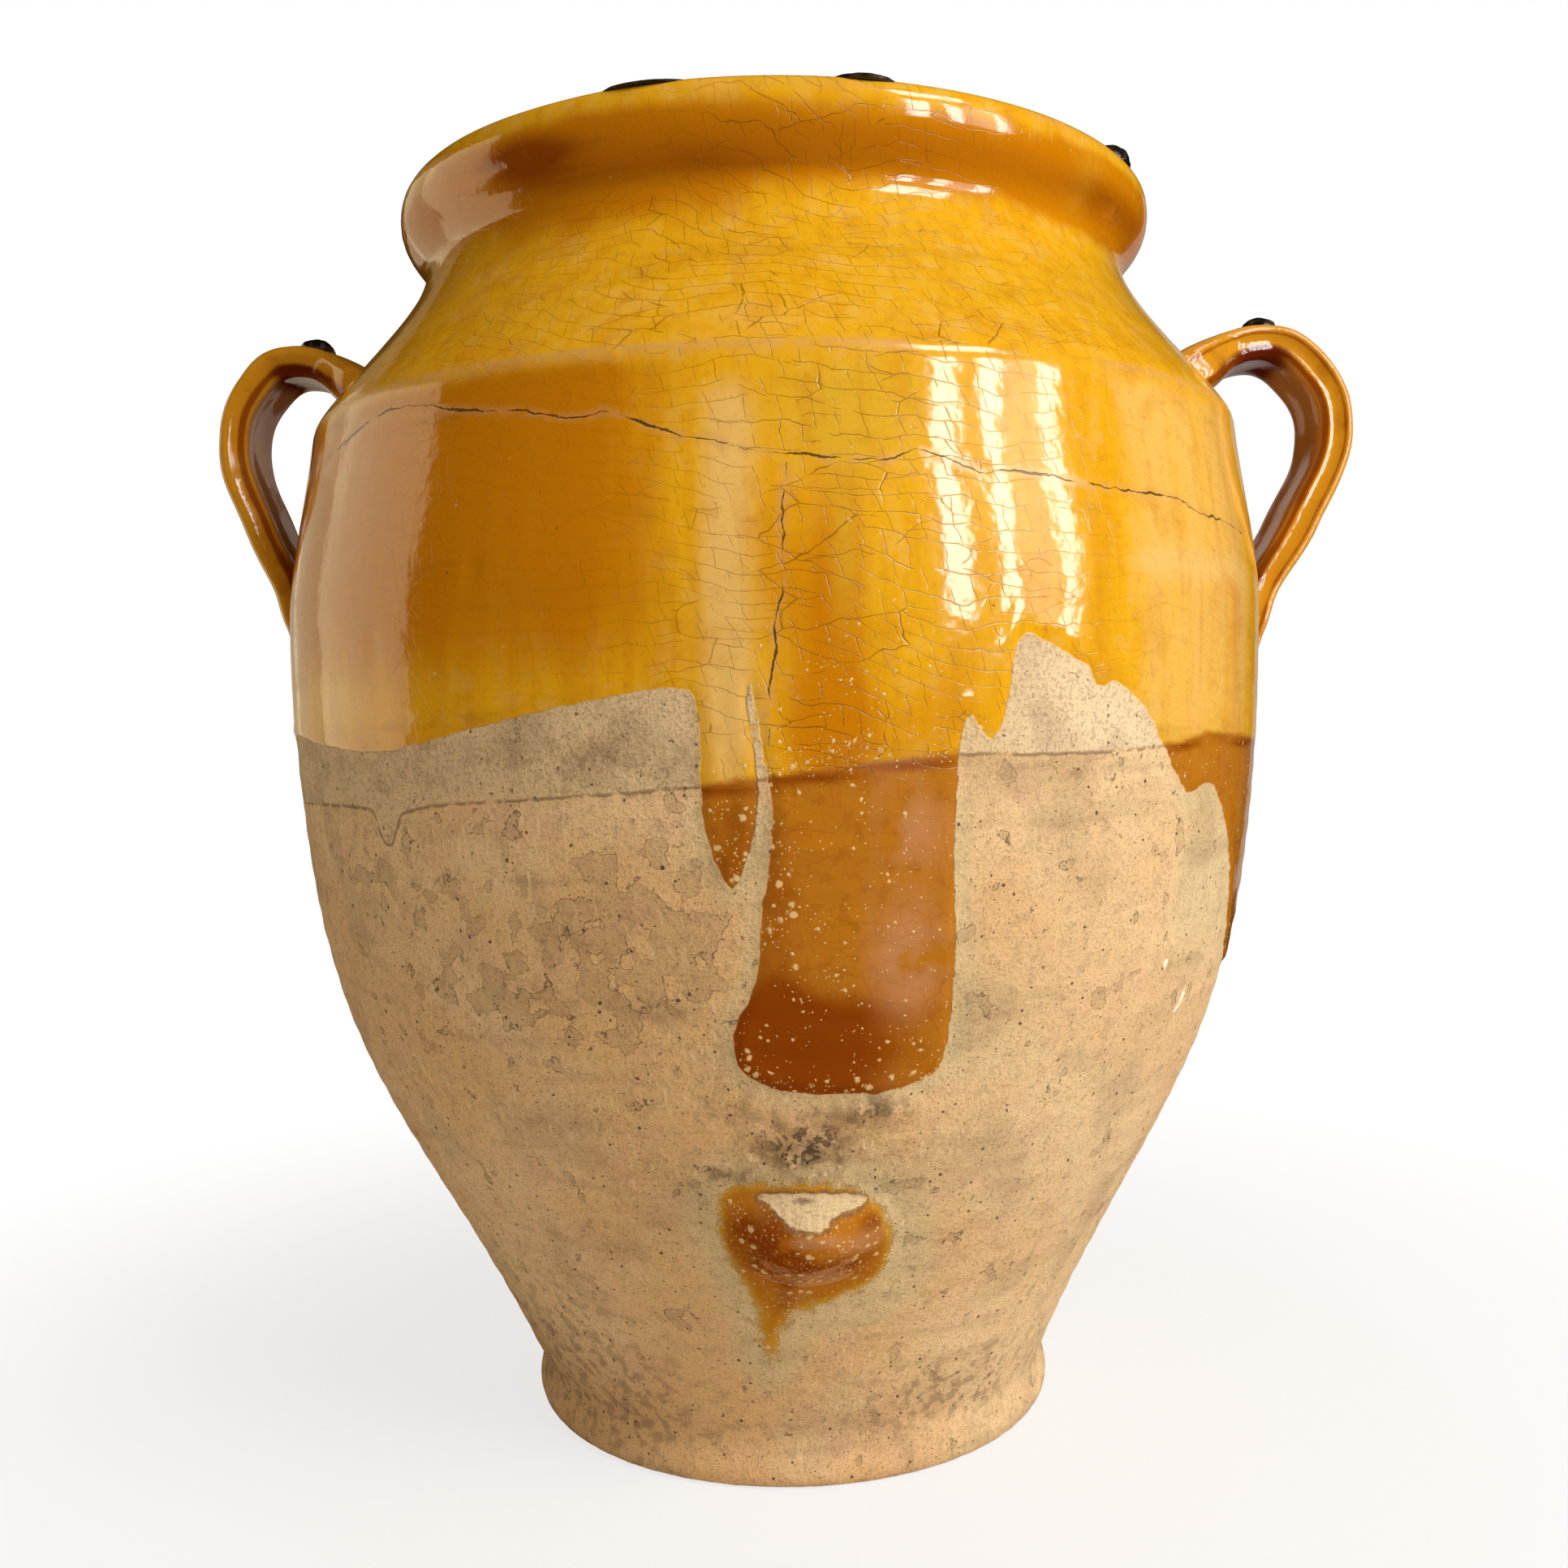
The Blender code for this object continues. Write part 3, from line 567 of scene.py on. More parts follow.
def wareMaterial():
    f = wareFinish
    material = bpy.data.materials.new("honey_lead_glaze_on_thrown_earthenware")
    tree = freshTree(material)
    place = addNode(tree, "TexCoord").outputs["Object"]

    def field(name):  # a layer of the mesh
        return addNode(tree, "Attribute", {"attribute_name": name}).outputs["Fac"]

    def grain(size, detail=3.0, stretch=None, distortion=0.0):  # noise with features size mm across
        at = place
        if stretch:
            at = addNode(tree, "Mapping", Vector=place, Scale=stretch).outputs[0]
        return addNode(tree, "TexNoise", Vector=at, Scale=1 / (size * mm), Detail=detail,
                       Distortion=distortion).outputs[0]

    def sums(kind, a, b, c=0.0):
        return addNode(tree, "Math", {"operation": kind}, s0=a, s1=b, s2=c).outputs[0]

    def step(value, low, high, top=1.0):
        return addNode(tree, "MapRange", {"interpolation_type": "SMOOTHSTEP"}, Value=value,
                       From_Min=low, From_Max=high, To_Min=0.0, To_Max=top).outputs[0]

    def frayed(name, by, much, shift):  # a layer of the mesh with noise in its edge
        return sums("MULTIPLY_ADD", by, much, sums("ADD", field(name), shift))

    def layered(colour, layers):  # each layer is a mask and the hex that it lays over
        for mask, over in layers:
            over = linear(over) if isinstance(over, str) else over
            colour = addNode(tree, "Mix", {"data_type": "RGBA"}, s0=mask, s6=colour, s7=over).outputs[2]
        return colour

    def spots(size, radius, much):  # round marks in mm, in a share of the cells size mm across
        cell = addNode(tree, "TexVoronoi", Vector=jagged, Scale=1 / (size * mm), Randomness=1.0)
        pick = addNode(tree, "SeparateColor", s0=cell.outputs["Color"]).outputs[0]
        picked = step(sums("ADD", pick, much), 0.98, 1.02)
        edge = radius / size
        return sums("MULTIPLY", step(cell.outputs["Distance"], edge * 1.3, edge * 0.7), picked)

    wide, middle, small = grain(42), grain(12), grain(3.2)
    grit, dust = grain(0.9, 2.0), grain(0.4, 2.0)
    streak = grain(9, 3.0, (1.0, 1.0, 0.12))
    streakFine = grain(3.5, 2.0, (1.0, 1.0, 0.07))
    wiped = grain(6, 3.0, (0.15, 0.15, 1.0))
    jitter = addNode(tree, "TexNoise", Vector=place, Scale=1 / (1.1 * mm), Detail=1.0).outputs["Color"]
    jagged = addNode(tree, "VectorMath", {"operation": "MULTIPLY_ADD"},
                     s0=jitter, s1=(0.9 * mm,) * 3, s2=place).outputs[0]

    # where each coat lies, with ragged edges
    ragged = sums("MULTIPLY_ADD", small, 1.3, -0.65)
    stipple = sums("MULTIPLY_ADD", dust, 3.0, -1.5)
    glazeOn = step(sums("ADD", field("glazeEdge"), ragged), -0.1, 0.35)
    slipOn = step(sums("MULTIPLY_ADD", grit, 1.0, sums("ADD", field("slipEdge"), ragged)), 0.2, 0.9)
    scarFade = sums("ADD", sums("MULTIPLY_ADD", small, 3.0, -1.5), stipple)
    scarOn = step(sums("ADD", field("scarEdge"), scarFade), -0.4, 1.2)
    faceAt = sums("ADD", field("brokenFace"), sums("MULTIPLY_ADD", small, 1.6, -0.8))
    faceOn = step(faceAt, -0.1, 0.25)
    faceRim = step(sums("ABSOLUTE", sums("ADD", faceAt, 0.35), 0.0), 0.6, 0.1, 0.8)
    faceRim = sums("MULTIPLY", faceRim, step(grit, 0.34, 0.52))

    # bare clay, its pits, and the plates that flaked off it
    pitMany = sums("MULTIPLY_ADD", field("grimeAndShade"), 0.30, 0.17)
    pitOn = sums("MAXIMUM", spots(2.3, 0.34, pitMany), spots(1.0, 0.15, 0.24))
    twisted = grain(2.1, 6.0, distortion=1.2)
    crustOn = sums("MULTIPLY", step(field("grimeAndShade"), 0.78, 1.20), step(twisted, 0.50, 0.57, 0.75))
    plateAt = sums("MULTIPLY_ADD", field("flaked"), 0.22, sums("ADD", grain(7, 10.0), -0.65))
    plateOn = step(plateAt, 0.0, 0.008)
    # painted shade: a dark line along the edges of the flaked plates
    plateEdgeShade = step(sums("ABSOLUTE", plateAt, 0.0), 0.012, 0.003, 0.55)
    plateEdgeShade = sums("MULTIPLY", plateEdgeShade, step(grain(5), 0.45, 0.58))
    # dirt, with painted shade in the waist and low on the left
    grimeAndShadeOn = sums("MAXIMUM", step(small, 0.35, 0.62), 0.5)
    grimeAndShadeOn = step(sums("MULTIPLY", field("grimeAndShade"), grimeAndShadeOn), 0.1, 0.9, 0.6)
    scratch = grain(1.2, 2.0, (1.0, 1.0, 0.10))
    clay = layered(linear(f["clay"]), [
        (step(wide, 0.42, 0.62, 0.7), f["clayPale"]),
        (step(middle, 0.50, 0.70, 0.45), f["clayPink"]),
        # painted light: paler on the right side
        (sums("MULTIPLY", field("paintedLightRight"), 0.20), f["paintedLightPale"]),
        (step(field("halo"), 0.15, 1.0, 0.6), f["clayGreen"]),
        (step(grain(22, 5.0), 0.50, 0.66, 0.26), f["clayGrimeAndShade"]),
        (step(small, 0.52, 0.68, 0.20), f["clayGrimeAndShade"]),
        (step(dust, 0.50, 0.70, 0.38), f["clayGrimeAndShade"]),
        (step(grit, 0.54, 0.68, 0.28), f["clayGrimeAndShade"]),
        (step(dust, 0.45, 0.28, 0.38), f["clayLight"]),
        (step(wiped, 0.56, 0.74, 0.22), f["clayGrimeAndShade"]),
        (sums("MULTIPLY", step(scratch, 0.56, 0.68, 0.45), step(grain(30), 0.48, 0.60)), f["clayLight"]),
        (grimeAndShadeOn, f["clayGrimeAndShade"]),
        (sums("MULTIPLY", plateOn, 0.24), f["clayGrimeAndShade"]),
        (plateEdgeShade, f["speck"]),
        (crustOn, f["speck"]),
        (sums("MULTIPLY", pitOn, 0.85), f["speck"]),
        (step(field("streaked"), 0.35, 0.6), "#fdf6e8"),
    ])
    slip = layered(linear(f["slip"]), [
        (step(middle, 0.48, 0.7, 0.35), f["clayPale"]),
        # painted light: paler on the right side
        (sums("MULTIPLY", field("paintedLightRight"), 0.65), f["paintedLightPale"]),
        (step(grain(14, 4.0), 0.48, 0.64, 0.28), f["clayGrimeAndShade"]),
        (step(grit, 0.50, 0.66, 0.36), f["clayGrimeAndShade"]),
        (step(dust, 0.48, 0.70, 0.32), f["clayGrimeAndShade"]),
        (step(dust, 0.45, 0.28, 0.40), f["clayLight"]),
        (grimeAndShadeOn, f["clayGrimeAndShade"]),
        (sums("MULTIPLY", pitOn, 0.7), f["speck"]),
    ])

    # glaze over the slip
    creamOn = step(frayed("cream", streak, 0.5, -0.25), 0.1, 0.9, 0.85)
    amberOn = step(frayed("amber", streak, 0.9, -0.42), 0.0, 1.0)
    oliveOn = step(frayed("olive", middle, 0.6, -0.3), 0.1, 0.9, 0.8)
    # painted shade under the lip
    underRimShadeOn = step(frayed("deep", wiped, 0.8, -0.4), 0.2, 1.0, 0.85)
    honey = layered(linear(f["honey"]), [
        (step(wide, 0.48, 0.72, 0.25), f["olive"]),
        (step(grain(5.5, 5.0), 0.52, 0.66, 0.22), f["cream"]),
        (step(streakFine, 0.48, 0.30, 0.12), f["cream"]),
        (amberOn, f["amber"]),
        (oliveOn, f["olive"]),
        (creamOn, f["cream"]),
        (step(streakFine, 0.50, 0.68, 0.20), f["amber"]),
        (step(middle, 0.50, 0.68, 0.26), f["amber"]),
        (step(small, 0.53, 0.70, 0.16), f["brown"]),
        (underRimShadeOn, f["brownDeep"]),
    ])
    # and over bare clay, where it turns brown and hazy
    pooledOn = step(frayed("pooled", middle, 0.7, -0.35), 0.1, 0.9, 0.95)
    # haze, with a painted reflection on the scar's right
    hazeAndReflectionOn = sums("MULTIPLY", step(field("hazeAndReflection"), 0.1, 0.9, 0.6), step(middle, 0.36, 0.54))
    brown = layered(linear(f["brown"]), [
        (step(middle, 0.50, 0.70, 0.4), f["amber"]),
        (step(small, 0.52, 0.68, 0.22), f["brownDeep"]),
        (step(streak, 0.48, 0.30, 0.18), f["hazeAndReflection"]),
        (pooledOn, f["brownDeep"]),
        (hazeAndReflectionOn, f["hazeAndReflection"]),
    ])
    overSlip = step(frayed("slipEdge", small, 2.0, -1.0), -0.6, 1.2)
    glaze = layered(brown, [(overSlip, honey)])

    # craze lines on the unrolled wall, in mm: long lines that fall a little to the right, with
    # short upright ones between them, as bricks, and a loose net across both
    flat = addNode(tree, "CombineXYZ", X=field("roundAt"), Y=field("upAt"), Z=0.0).outputs[0]
    slow = addNode(tree, "TexNoise", Vector=flat, Scale=1 / 48, Detail=1.0).outputs[0]
    quick = addNode(tree, "TexNoise", Vector=flat, Scale=1 / 9, Detail=3.0).outputs[0]
    fallen = sums("MULTIPLY_ADD", field("roundAt"), 0.15, field("upAt"))
    fallen = sums("MULTIPLY_ADD", quick, 4.0, sums("MULTIPLY_ADD", slow, 26.0, fallen))

    def bricks(wide, tall, line):
        rowAt = sums("DIVIDE", fallen, tall)
        row, part = sums("FLOOR", rowAt, 0.0), sums("FRACT", rowAt, 0.0)
        fromMiddle = sums("ABSOLUTE", sums("ADD", part, -0.5), 0.0)
        levelOn = step(fromMiddle, 0.5 - line / tall, 0.5 - line / tall * 0.2)
        columnAt = sums("MULTIPLY_ADD", quick, 0.5, sums("DIVIDE", field("roundAt"), wide))
        columnAt = sums("MULTIPLY_ADD", part, 0.22, columnAt)
        reach = addNode(tree, "TexVoronoi", {"feature": "DISTANCE_TO_EDGE", "voronoi_dimensions": "1D"},
                        W=sums("MULTIPLY_ADD", row, 17.37, columnAt), Scale=1.0).outputs[0]
        uprightOn = step(reach, line / wide, line / wide * 0.2)
        uprightOn = sums("MULTIPLY", uprightOn, step(grain(5), 0.40, 0.52))
        return sums("MAXIMUM", sums("MULTIPLY", levelOn, step(grain(11), 0.38, 0.48)), uprightOn)

    bend = addNode(tree, "TexNoise", Vector=flat, Scale=1 / 8, Detail=2.0).outputs["Color"]
    bend = addNode(tree, "VectorMath", {"operation": "MULTIPLY_ADD"},
                   s0=bend, s1=(5.0,) * 3, s2=flat).outputs[0]
    lain = addNode(tree, "Mapping", Vector=bend, Rotation=(0.0, 0.0, 0.5),
                   Scale=(0.4, 1.0, 1.0)).outputs[0]
    loose = addNode(tree, "TexVoronoi", {"feature": "DISTANCE_TO_EDGE", "voronoi_dimensions": "2D"},
                    Vector=lain, Scale=1 / 6).outputs[0]
    looseOn = sums("MULTIPLY", step(loose, 0.018, 0.005), step(middle, 0.48, 0.56))
    crazeOn = sums("MAXIMUM", bricks(5.4, 3.9, 0.13), looseOn)
    crazeOn = sums("MULTIPLY", crazeOn, step(field("crazed"), 0.0, 1.1, 0.66))

    # pale bubbles and bits, most where the runs crossed the slip and where they stopped
    clustered = sums("MULTIPLY", field("specked"), step(grain(6, 3.0), 0.42, 0.58))
    manyAt = sums("MULTIPLY_ADD", field("specked"), 0.25, sums("MULTIPLY_ADD", clustered, 0.60, -0.01))
    bubbleOn = sums("MAXIMUM", spots(0.8, 0.18, manyAt), spots(1.7, 0.38, sums("MULTIPLY", clustered, 0.60)))
    largeAt = sums("MULTIPLY_ADD", field("specked"), 0.8, -0.36)
    bubbleOn = sums("MAXIMUM", bubbleOn, spots(2.4, 0.70, largeAt))
    glaze = layered(glaze, [
        (step(wiped, 0.58, 0.74, 0.14), f["crazeLine"]),
        (step(grit, 0.60, 0.78, 0.22), f["crazeLine"]),
        (crazeOn, f["crazeLine"]),
        (sums("MULTIPLY", bubbleOn, 0.85), f["bubble"]),
        (sums("MULTIPLY", spots(6.0, 0.26, 0.12), 0.8), f["speck"]),
    ])
    scarGlaze = layered(brown, [
        (step(small, 0.50, 0.66, 0.28), f["amber"]),
        (step(grit, 0.54, 0.70, 0.30), f["hazeAndReflection"]),
        (step(field("scarEdge"), 2.6, 0.3, 0.55), f["olive"]),
        (sums("MULTIPLY", bubbleOn, 0.8), f["bubble"]),
        (faceRim, f["clayGrimeAndShade"]),
    ])
    face = layered(linear(f["break"]), [
        (step(dust, 0.48, 0.66, 0.35), f["clayGrimeAndShade"]),
        (step(grit, 0.52, 0.68, 0.25), f["clayGrimeAndShade"]),
        (step(field("grimeAndShade"), 0.3, 0.9, 0.75), f["clayGrimeAndShade"]),
    ])

    colour = layered(clay, [(slipOn, slip), (scarOn, scarGlaze), (glazeOn, glaze), (faceOn, face)])
    # a thin shadow line where slip ends, and the cracks with the worn glaze beside them
    slipAt = sums("ADD", sums("ADD", field("slipEdge"), ragged), 0.3)
    slipLine = step(sums("ABSOLUTE", slipAt, 0.0), 0.55, 0.12, 0.75)
    slipLine = sums("MULTIPLY", slipLine, step(small, 0.30, 0.5))
    slipLine = sums("MULTIPLY", slipLine, sums("SUBTRACT", 1.0, glazeOn))
    crackWander = sums("MULTIPLY_ADD", small, 1.6, sums("MULTIPLY_ADD", grit, 0.4, -1.0))
    along = sums("ABSOLUTE", sums("ADD", field("crackAcross"), crackWander), 0.0)
    along = sums("MULTIPLY_ADD", field("acrossOff"), 9.0, along)
    down = sums("ABSOLUTE", sums("ADD", field("crackBeside"), crackWander), 0.0)
    down = sums("MULTIPLY_ADD", field("besideOff"), 9.0, down)
    nearCrack = sums("MINIMUM", along, down)
    crackHalf = sums("MULTIPLY_ADD", grain(7, 4.0), 1.1, -0.52)
    crackOn = step(sums("SUBTRACT", nearCrack, crackHalf), 0.13, 0.0, 0.85)
    wornAndHighlightOn = sums("MULTIPLY", step(nearCrack, 1.8, 0.3, 0.32), step(small, 0.38, 0.54))
    # the ridge's pale line is a painted highlight over real wear
    ridgeWearAndHighlightOn = sums("MULTIPLY", field("ridgeWearAndHighlight"), step(small, 0.24, 0.52, 0.65))
    wornAndHighlightOn = sums("MAXIMUM", wornAndHighlightOn, ridgeWearAndHighlightOn)
    colour = layered(colour, [(slipLine, f["clayGrimeAndShade"]), (wornAndHighlightOn, f["wornAndHighlight"]), (crackOn, f["crack"])])

    glossOn = sums("SUBTRACT", sums("MAXIMUM", glazeOn, scarOn), faceOn)
    glossOn = sums("MAXIMUM", glossOn, 0.0)
    rough = sums("MULTIPLY_ADD", glossOn, f["glazeRoughness"] - f["clayRoughness"], f["clayRoughness"])
    rough = sums("ADD", rough, sums("MULTIPLY", sums("ADD", bubbleOn, hazeAndReflectionOn), 0.15))
    rough = sums("MULTIPLY_ADD", wornAndHighlightOn, 0.45, rough)

    # relief in mm
    def heaped(parts):
        total = 0.0
        for part, tall in parts:
            total = sums("MULTIPLY_ADD", part, tall, total)
        return total

    clayRelief = heaped([(grit, 0.20), (small, 0.32), (dust, 0.09), (pitOn, -0.28),
                         (plateOn, -0.50), (crustOn, -0.5)])
    glazeRelief = heaped([(grain(6.5, 2.0), 0.11), (streak, 0.04), (grain(2.3, 2.0), 0.025),
                          (bubbleOn, 0.08), (crazeOn, -0.06)])
    relief = addNode(tree, "Mix", {"data_type": "FLOAT"}, s0=glossOn, s2=clayRelief,
                     s3=glazeRelief).outputs[0]
    relief = sums("MULTIPLY_ADD", crackOn, -0.22, relief)
    normal = addNode(tree, "Bump", Strength=1.0, Distance=mm, Height=relief).outputs[0]

    shader = addNode(tree, "BsdfPrincipled", Base_Color=colour, Roughness=rough, Normal=normal,
                     IOR=f["ior"])
    addNode(tree, "OutputMaterial", Surface=shader.outputs[0])
    return material


# Pulled strap handles: bearings of the knots are in the pot's XZ plane, as distance from
# the axis and height, then how wide and how thick the strap is there
strapSizes = {
    # pale line along each strap: on the left a painted highlight along the inner edge, on the right clay
    # where the glaze wore thin
    "left": {"side": -1, "thickness": 9.5, "groove": 0.5, "chamfer": 4.2, "outerGutter": 0.0,
             "gutter": (-0.45, 0.20), "edge": (0.86, 0.20), "wornAndHighlight": (-0.08, 0.08), "knots": [
        (103.3, 264.0, 1.30, 1.15), (127.5, 275.3, 1.0, 1.0), (137.4, 268.8, 1.0, 1.0),
        (142.5, 254.8, 1.0, 1.0), (135.9, 231.9, 1.08, 1.0), (126.5, 211.5, 1.15, 0.95),
        (122.8, 196.5, 1.0, 0.55)]},
    "right": {"side": 1, "thickness": 10.8, "groove": 1.6, "chamfer": 1.6, "outerGutter": 0.7,
              "gutter": (-0.62, 0.20), "edge": (0.82, 0.28), "wornAndHighlight": (0.50, 0.07), "knots": [
        (103.3, 264.0, 1.30, 1.15), (130.8, 276.0, 1.0, 1.0), (142.5, 269.0, 1.0, 1.0),
        (148.5, 253.8, 1.0, 1.0), (139.6, 228.9, 1.08, 1.0), (127.0, 207.0, 1.15, 0.95),
        (122.8, 190.5, 1.0, 0.55)]},
    "width": 27.5,
    "hollow": 1.2,          # along each broad face
    "flare": 0.45,          # how much more clay there is where the strap meets the wall
    "sides": 96,
    "stepsPerKnot": 22,
}


def strapPath(knots, side):  # Blender's own automatic handles round the loop
    curve = bpy.data.curves.new("strap_path", "CURVE")
    curve.dimensions = "3D"
    spline = curve.splines.new("BEZIER")
    spline.bezier_points.add(len(knots) - 1)
    for point, (reach, height, wide, thick) in zip(spline.bezier_points, knots):
        point.co = (side * reach, 0.0, height)
        point.handle_left_type = "AUTO"
        point.handle_right_type = "AUTO"
    guide = bpy.data.objects.new("strap_path", curve)
    bpy.context.scene.collection.objects.link(guide)
    bpy.context.view_layer.update()
    points, shares = [], []
    steps = strapSizes["stepsPerKnot"]
    for i, (a, b) in enumerate(zip(spline.bezier_points, spline.bezier_points[1:])):
        run = interpolate_bezier(a.co, a.handle_right, b.handle_left, b.co, steps + 1)
        points += run[:-1] if i < len(knots) - 2 else run
        shares += [i + j / steps for j in range(steps + (i == len(knots) - 2))]
    bpy.data.objects.remove(guide)
    return points, shares


def makeStrap(name):
    s = strapSizes[name]
    points, shares = strapPath(s["knots"], s["side"])
    wides, thicks = [k[2] for k in s["knots"]], [k[3] for k in s["knots"]]
    bm = bmesh.new()
    layers = {key: bm.verts.layers.float.new(key)
              for key in ("ridge", "gutter", "under", "pooled", "wornAndHighlight")}
    start = bmesh.ops.create_circle(bm, segments=strapSizes["sides"], radius=1.0)["verts"]
    angles = [math.atan2(v.co.y, v.co.x) for v in start]
    bm.edges.ensure_lookup_table()
    loopEdges = list(bm.edges)
    order = {v: i for i, v in enumerate(start)}
    current = start
    for k, (centre, share) in enumerate(zip(points, shares)):
        if k:
            out = bmesh.ops.extrude_edge_only(bm, edges=loopEdges)["geom"]
            fresh = [v for v in out if isinstance(v, bmesh.types.BMVert)]
            loopEdges = [e for e in out if isinstance(e, bmesh.types.BMEdge)
                         and all(v in fresh for v in e.verts)]
            matched = [None] * len(current)
            for v in fresh:
                old = next(e.other_vert(v) for e in v.link_edges if e.other_vert(v) in order)
                matched[order[old]] = v
            current = matched
            order = {v: i for i, v in enumerate(current)}
        ahead = points[min(k + 1, len(points) - 1)] - points[max(k - 1, 0)]
        out = Vector((ahead.z, 0.0, -ahead.x)).normalized() * (-s["side"])
        wide = strapSizes["width"] / 2 * float(np.interp(share, range(len(wides)), wides))
        thick = s["thickness"] / 2 * float(np.interp(share, range(len(thicks)), thicks))
        flare = 1 + strapSizes["flare"] * float(smooth(0.75, 0.2, share) + 0.5 * smooth(4.7, 5.3, share))
        wide, thick = wide * flare, thick * (1 + 0.6 * (flare - 1))
        for v, angle in zip(current, angles):
            c, d = math.cos(angle), math.sin(angle)
            across = math.copysign(abs(c) ** 0.8, c)
            through = math.copysign(abs(d) ** 0.6, d)
            side = abs(across)
            hollow = strapSizes["hollow"] * (1 - side * side) ** 2
            narrower = s["groove"] * max(0.0, 1 - (through / 0.75) ** 2) ** 2 * side ** 6
            narrower += s["chamfer"] * float(smooth(0.35, -1.0, through)) * side ** 3
            sideways = Vector((0, (wide - narrower) * across, 0))
            v.co = centre + out * ((thick - hollow) * through) + sideways
            edge = smooth(0.72, 0.92, side)
            dips = hump(through, *s["gutter"]) + s["outerGutter"] * hump(through, 0.3, 0.12)
            ends = hump(share, 1.0, 0.75) + hump(share, 5.2, 0.8)
            v[layers["ridge"]] = float(hump(through, *s["edge"]) * smooth(0.5, 0.8, side))
            v[layers["wornAndHighlight"]] = float(edge * hump(through, *s["wornAndHighlight"]))
            v[layers["gutter"]] = float(edge * dips)
            # inner face: greyer tan, partly a painted reflection of the pale room
            v[layers["under"]] = float(smooth(-0.55, -0.9, through) * smooth(0.98, 0.86, side))
            v[layers["pooled"]] = float(smooth(0.1, -0.5, through) * ends)
    first = [e for e in bm.edges if len(e.link_faces) == 1]
    bmesh.ops.holes_fill(bm, edges=first, sides=strapSizes["sides"] + 2)
    bmesh.ops.triangulate(bm, faces=[f for f in bm.faces if len(f.verts) > 4])
    bmesh.ops.recalc_face_normals(bm, faces=bm.faces)
    handle = asObject(bm, name + "_strap_handle")
    co = coordsOf(handle.data)
    lumps = noiseAt(co, 19, 2, 4) * 0.28 + noiseAt(co, 6, 2, 5) * 0.05
    co[:, 0] += s["side"] * lumps
    co[:, 1] *= 1 + lumps * 0.012
    co[:, 2] += lumps * 0.4
    settle(handle.data, co)
    print(name, "strap pulled:", len(handle.data.polygons), "faces")
    return handle


# Amber glaze on the straps: pale where it is thin on the ridges, red-brown where it pooled; a painted
# highlight along the left strap's inner edge, and inner faces of a greyer tan that is partly a painted
# reflection of the pale room
strapFinish = {
    "amber": "#d1921c",
    "ridge": "#eab04a",
    # clay through worn glaze, and on the left strap a painted highlight
    "clayThroughAndHighlight": "#e4b48a",
    "gutter": "#8a3c06",
    "pooled": "#662206",
    # inner face: the glaze's tone, partly a painted reflection of the pale room
    "under": "#b58450",
    "roughness": 0.12,
    "ior": 1.6,
}


def strapMaterial():
    f = strapFinish
    material = bpy.data.materials.new("amber_lead_glaze_on_pulled_strap")
    tree = freshTree(material)
    place = addNode(tree, "TexCoord").outputs["Object"]
    blotch = addNode(tree, "TexNoise", Vector=place, Scale=1 / (7 * mm), Detail=3.0).outputs[0]
    fine = addNode(tree, "TexNoise", Vector=place, Scale=1 / (1.6 * mm), Detail=3.0).outputs[0]

    def sums(kind, a, b, c=0.0):
        return addNode(tree, "Math", {"operation": kind}, s0=a, s1=b, s2=c).outputs[0]

    def step(value, low, high, top=1.0):
        return addNode(tree, "MapRange", {"interpolation_type": "SMOOTHSTEP"}, Value=value,
                       From_Min=low, From_Max=high, To_Min=0.0, To_Max=top).outputs[0]

    def coat(name, low, high, top=1.0):  # a layer of the mesh, with a wandering edge
        layer = addNode(tree, "Attribute", {"attribute_name": name}).outputs["Fac"]
        return step(sums("MULTIPLY_ADD", blotch, 0.5, sums("ADD", layer, -0.25)), low, high, top)

    # pale line: painted highlight on the left strap, worn-through clay on the right
    wornAndHighlightOn = sums("MULTIPLY", coat("wornAndHighlight", 0.45, 0.75), step(fine, 0.40, 0.54, 0.85))
    layers = [
        (step(blotch, 0.52, 0.75, 0.3), "gutter"), (coat("ridge", 0.35, 0.9), "ridge"),
        # inner face partly a painted reflection of the pale room
        (coat("under", 0.2, 0.8), "under"), (coat("gutter", 0.3, 0.85, 0.9), "gutter"),
        (coat("pooled", 0.25, 0.9), "pooled"), (wornAndHighlightOn, "clayThroughAndHighlight"),
    ]
    colour = linear(f["amber"])
    for mask, over in layers:
        colour = addNode(tree, "Mix", {"data_type": "RGBA"}, s0=mask, s6=colour,
                         s7=linear(f[over])).outputs[2]
    rough = sums("MULTIPLY_ADD", wornAndHighlightOn, 0.4, f["roughness"])
    relief = sums("ADD", sums("MULTIPLY", blotch, 0.2), sums("MULTIPLY", fine, 0.04))
    normal = addNode(tree, "Bump", Strength=1.0, Distance=mm, Height=relief).outputs[0]
    shader = addNode(tree, "BsdfPrincipled", Base_Color=colour, Roughness=rough, Normal=normal,
                     IOR=f["ior"])
    addNode(tree, "OutputMaterial", Surface=shader.outputs[0])
    return material


# Lumps of black slag that dripped from the kiln roof
slagLumps = {
    "rim_slag_left": {"node": "rim_lump_left", "bearing": -16.5, "size": (22.0, 9.0, 0.9)},
    "rim_slag_front": {"node": "rim_lump_front", "bearing": 12.0, "size": (14.5, 9.5, 1.5)},
    "rim_slag_right": {"node": "rim_lump_right", "bearing": 60.5, "size": (11.0, 9.0, 4.3)},
    "left_handle_slag": {"node": "left_handle_lump", "at": (-123.2, 279.9), "size": (9.6, 9.0, 3.3)},
    "right_handle_slag": {"node": "right_handle_lump", "at": (130.8, 281.2), "size": (9.6, 9.0, 3.5)},
}


